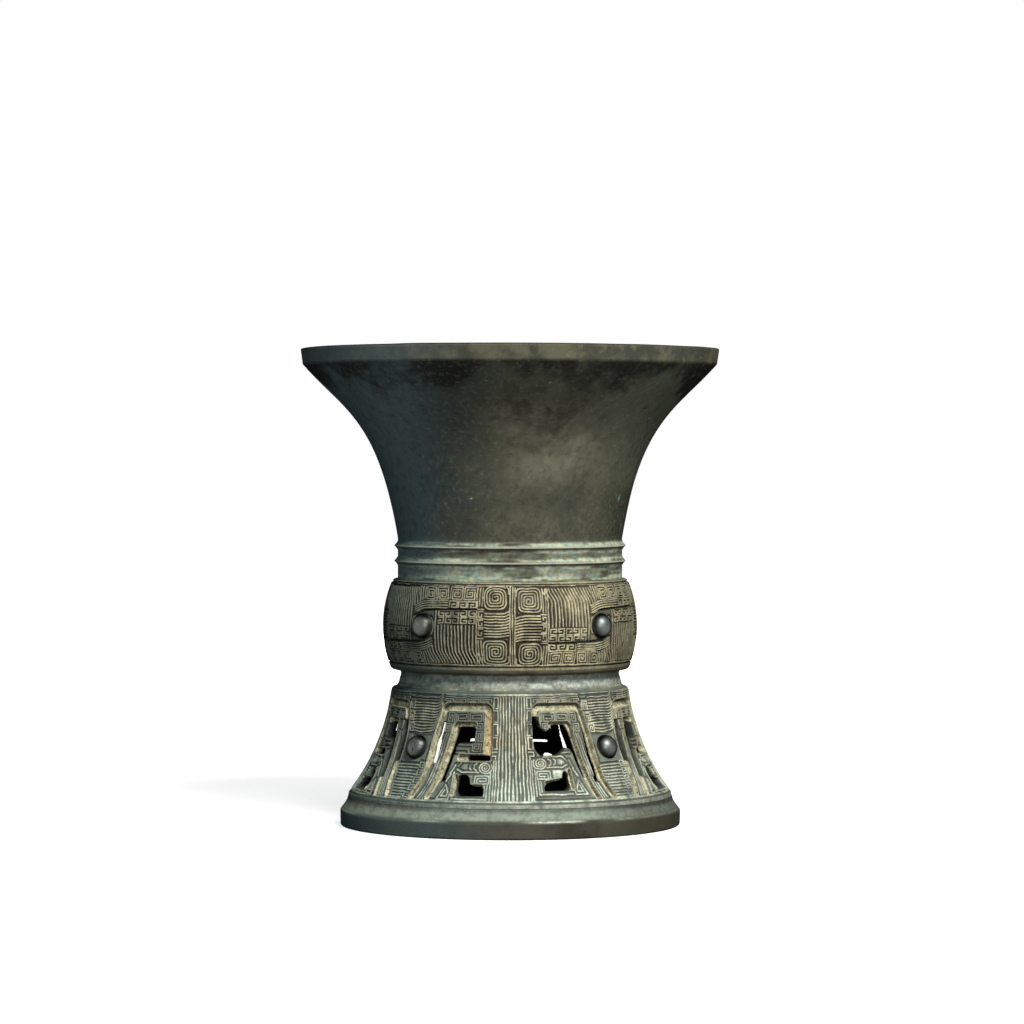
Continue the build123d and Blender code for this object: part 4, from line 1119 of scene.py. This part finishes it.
mouth = mouth_bronze("mouth_bronze")
belly = lined_bronze(
    "belly_bronze",
    ((0.048, 0.045, 0.033), (0.095, 0.083, 0.056)),
    (0.070, 0.082, 0.056),
    ((0.40, 0.355, 0.23), (0.345, 0.335, 0.225)),
    seed=0.0,
)
foot = lined_bronze(
    "foot_bronze",
    ((0.060, 0.072, 0.064), (0.100, 0.110, 0.090)),
    (0.070, 0.098, 0.088),
    ((0.48, 0.43, 0.295), (0.40, 0.425, 0.325)),
    seed=20.0,
    left=0.5,
    right=0.3,
)
ring = lined_bronze(
    "ring_bronze",
    ((0.029, 0.028, 0.022), (0.050, 0.047, 0.037)),
    (0.042, 0.046, 0.036),
    ((0.40, 0.41, 0.31), (0.34, 0.40, 0.32)),
    seed=40.0,
    ochres=((0.175, 0.200, 0.165), (0.120, 0.142, 0.118)),
    pits=0.0,
    left_shade_tint=(0.056, 0.082, 0.079),
    left=0.7,
)
eye_metal = boss_bronze()
chaplet = mouth_bronze("chaplet_bronze")

turned("mouth_skin", MOUTH_SECTION, 400, mouth, "mouth_bronze", ["mouth_trumpet"], mouth_shape)
chaplet_plates(chaplet)
for index in range(4):
    eye = 180.0 * ((index + 1) // 2) + (-BELLY_EYE_TURN if index % 2 else BELLY_EYE_TURN)
    belly_quarter(index, eye, belly)
for index in (0, 3):
    foot_panel(f"foot_panel_{index}_near", index, 0.0, 45.0, *FRONT_GRID, foot)
    foot_panel(f"foot_panel_{index}_far", index, 45.0, 90.0, *FRONT_GRID, foot)
for index in (1, 2):
    foot_panel(f"foot_panel_{index}", index, 0.0, 90.0, *BACK_GRID, foot)
turned("foot_waist", waist_section(), 360, foot, "foot_bronze", ["openwork_foot"], waist_shape)
turned("foot_ring_skin", ring_section(), 360, ring, "ring_bronze", ["foot_ring"], ring_shape)

belly_wall, foot_wall = float(belly_radius(BELLY_EYE)), float(panel_radius(FOOT_EYE))
belly_tilt = (BELLY_EYE - BELLY_MIDDLE) / (belly_wall - BARREL_CENTRE)
foot_tilt = (PANEL_ARC_HEIGHT - FOOT_EYE) / (PANEL_ARC_RADIUS - foot_wall)
for place, side, behind in (
    ("front_left", -1.0, 0.0),
    ("front_right", 1.0, 0.0),
    ("back_left", 1.0, -180.0),
    ("back_right", -1.0, 180.0),
):
    dent = 0.7 if place == "front_left" else 0.0
    boss("belly", place, side * BELLY_EYE_TURN + behind, belly_wall, BELLY_EYE, belly_tilt, eye_metal)
    boss("foot", place, side * FOOT_EYE_TURN + behind, foot_wall, FOOT_EYE, foot_tilt, eye_metal, dent)

floor_metal = inner_bronze()
for name in ("vessel_floor", "floor_chaplets"):
    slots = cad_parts[name].data.materials
    slots.clear()
    slots.append(floor_metal if name == "vessel_floor" else chaplet)

# Studio: white floor and backdrop, soft lights, long lens


def stage_floor():
    """Floor that the camera sees white with the vessel's shadow, and that throws back little light."""
    n = Nodes("stage_floor")
    reach = n.new("ShaderNodeVectorMath", {0: n.place()}, operation="LENGTH")
    distance = reach.outputs["Value"]
    under_foot = n.ramp(distance, 0.050, 0.057)
    strength = n.times(n.ramp(distance, 0.15, 0.7, 0.72, 1.0), under_foot)
    glow = n.new("ShaderNodeEmission", {"Color": (1.0, 1.0, 1.0, 1.0), "Strength": strength})
    shade = n.new("ShaderNodeBsdfDiffuse", {"Color": (0.42, 0.42, 0.42, 1.0)})
    dim = n.new("ShaderNodeBsdfDiffuse", {"Color": (0.14, 0.14, 0.14, 1.0)})
    bright = n.new("ShaderNodeAddShader", {0: shade.outputs[0], 1: glow.outputs[0]})
    n.pick(n.shown(), dim, bright, "ShaderNodeOutputMaterial")
    mesh = bpy.data.meshes.new("stage_floor")
    side = 6.0
    corners = [(-side, -side, 0), (side, -side, 0), (side, side, 0), (-side, side, 0)]
    mesh.from_pydata(corners, [], [(0, 1, 2, 3)])
    mesh.materials.append(n.material)
    floor = bpy.data.objects.new("stage_floor", mesh)
    bpy.context.scene.collection.objects.link(floor)


def softbox(name, place, target, wide, tall, power, color):
    """Area light at a place, turned towards a target."""
    data = bpy.data.lights.new(name, "AREA")
    data.shape, data.size, data.size_y = "RECTANGLE", wide, tall
    data.energy, data.color = power, color
    lamp = bpy.data.objects.new(name, data)
    lamp.location = place
    lamp.rotation_mode = "QUATERNION"
    lamp.rotation_quaternion = (Vector(target) - Vector(place)).to_track_quat("-Z", "Y")
    bpy.context.scene.collection.objects.link(lamp)


stage_floor()
softbox("key", (0.52, -0.98, 1.15), (0.0, 0.0, 0.08), 0.65, 0.65, 46.0, (1.0, 0.99, 0.94))
softbox("front", (0.20, -1.5, 0.32), (0.0, 0.0, 0.06), 0.4, 0.3, 10.0, (1.0, 1.0, 0.98))
softbox("fill", (-1.2, -0.5, 0.4), (0.0, 0.0, 0.08), 0.2, 0.4, 1.5, (0.50, 0.85, 1.0))
softbox("back", (0.1, 1.3, 0.2), (0.0, 0.0, 0.08), 0.8, 0.25, 10.0, (1.0, 1.0, 1.0))
softbox("top", (0.1, -0.2, 1.4), (0.0, 0.0, 0.1), 0.8, 0.8, 4.0, (1.0, 1.0, 1.0))


def studio_world():
    """White where it is seen or reflected, and dim for the light that it gives."""
    n = Nodes("studio", bpy.data.worlds)
    white = n.new("ShaderNodeBackground", {"Color": (1.0, 1.0, 1.0, 1.0), "Strength": 1.0})
    dim = n.new("ShaderNodeBackground", {"Color": (0.92, 0.96, 1.0, 1.0), "Strength": 0.06})
    n.pick(n.shown(), dim, white, "ShaderNodeOutputWorld")
    bpy.context.scene.world = n.material


studio_world()

# Camera: 1.4 m away and 136 mm up, turned 1.1 degrees round the vessel and looking 1.15 degrees down;
# the focal length and the aim are in pixels of a frame 1024 wide
FRAME_WIDTH, FOCAL, AIM_DOWN, AIM_SIDE = 1024.0, 4050.0, 81.0, 2.0
DISTANCE, HEIGHT, TURN = 1.399, 0.1358, math.radians(-1.1)
lens = bpy.data.cameras.new("camera")
lens.sensor_width = 36.0
lens.lens = lens.sensor_width * FOCAL / FRAME_WIDTH
lens.clip_start, lens.clip_end = 0.05, 50.0
camera = bpy.data.objects.new("camera", lens)
camera.location = (DISTANCE * math.sin(TURN), -DISTANCE * math.cos(TURN), HEIGHT)
pitch, yaw = math.atan(AIM_DOWN / FOCAL), math.atan(AIM_SIDE / FOCAL)
camera.rotation_euler = (math.pi / 2 - pitch, 0.0, TURN - yaw)
bpy.context.scene.collection.objects.link(camera)
bpy.context.scene.camera = camera
bpy.context.scene.view_settings.view_transform = "Standard"
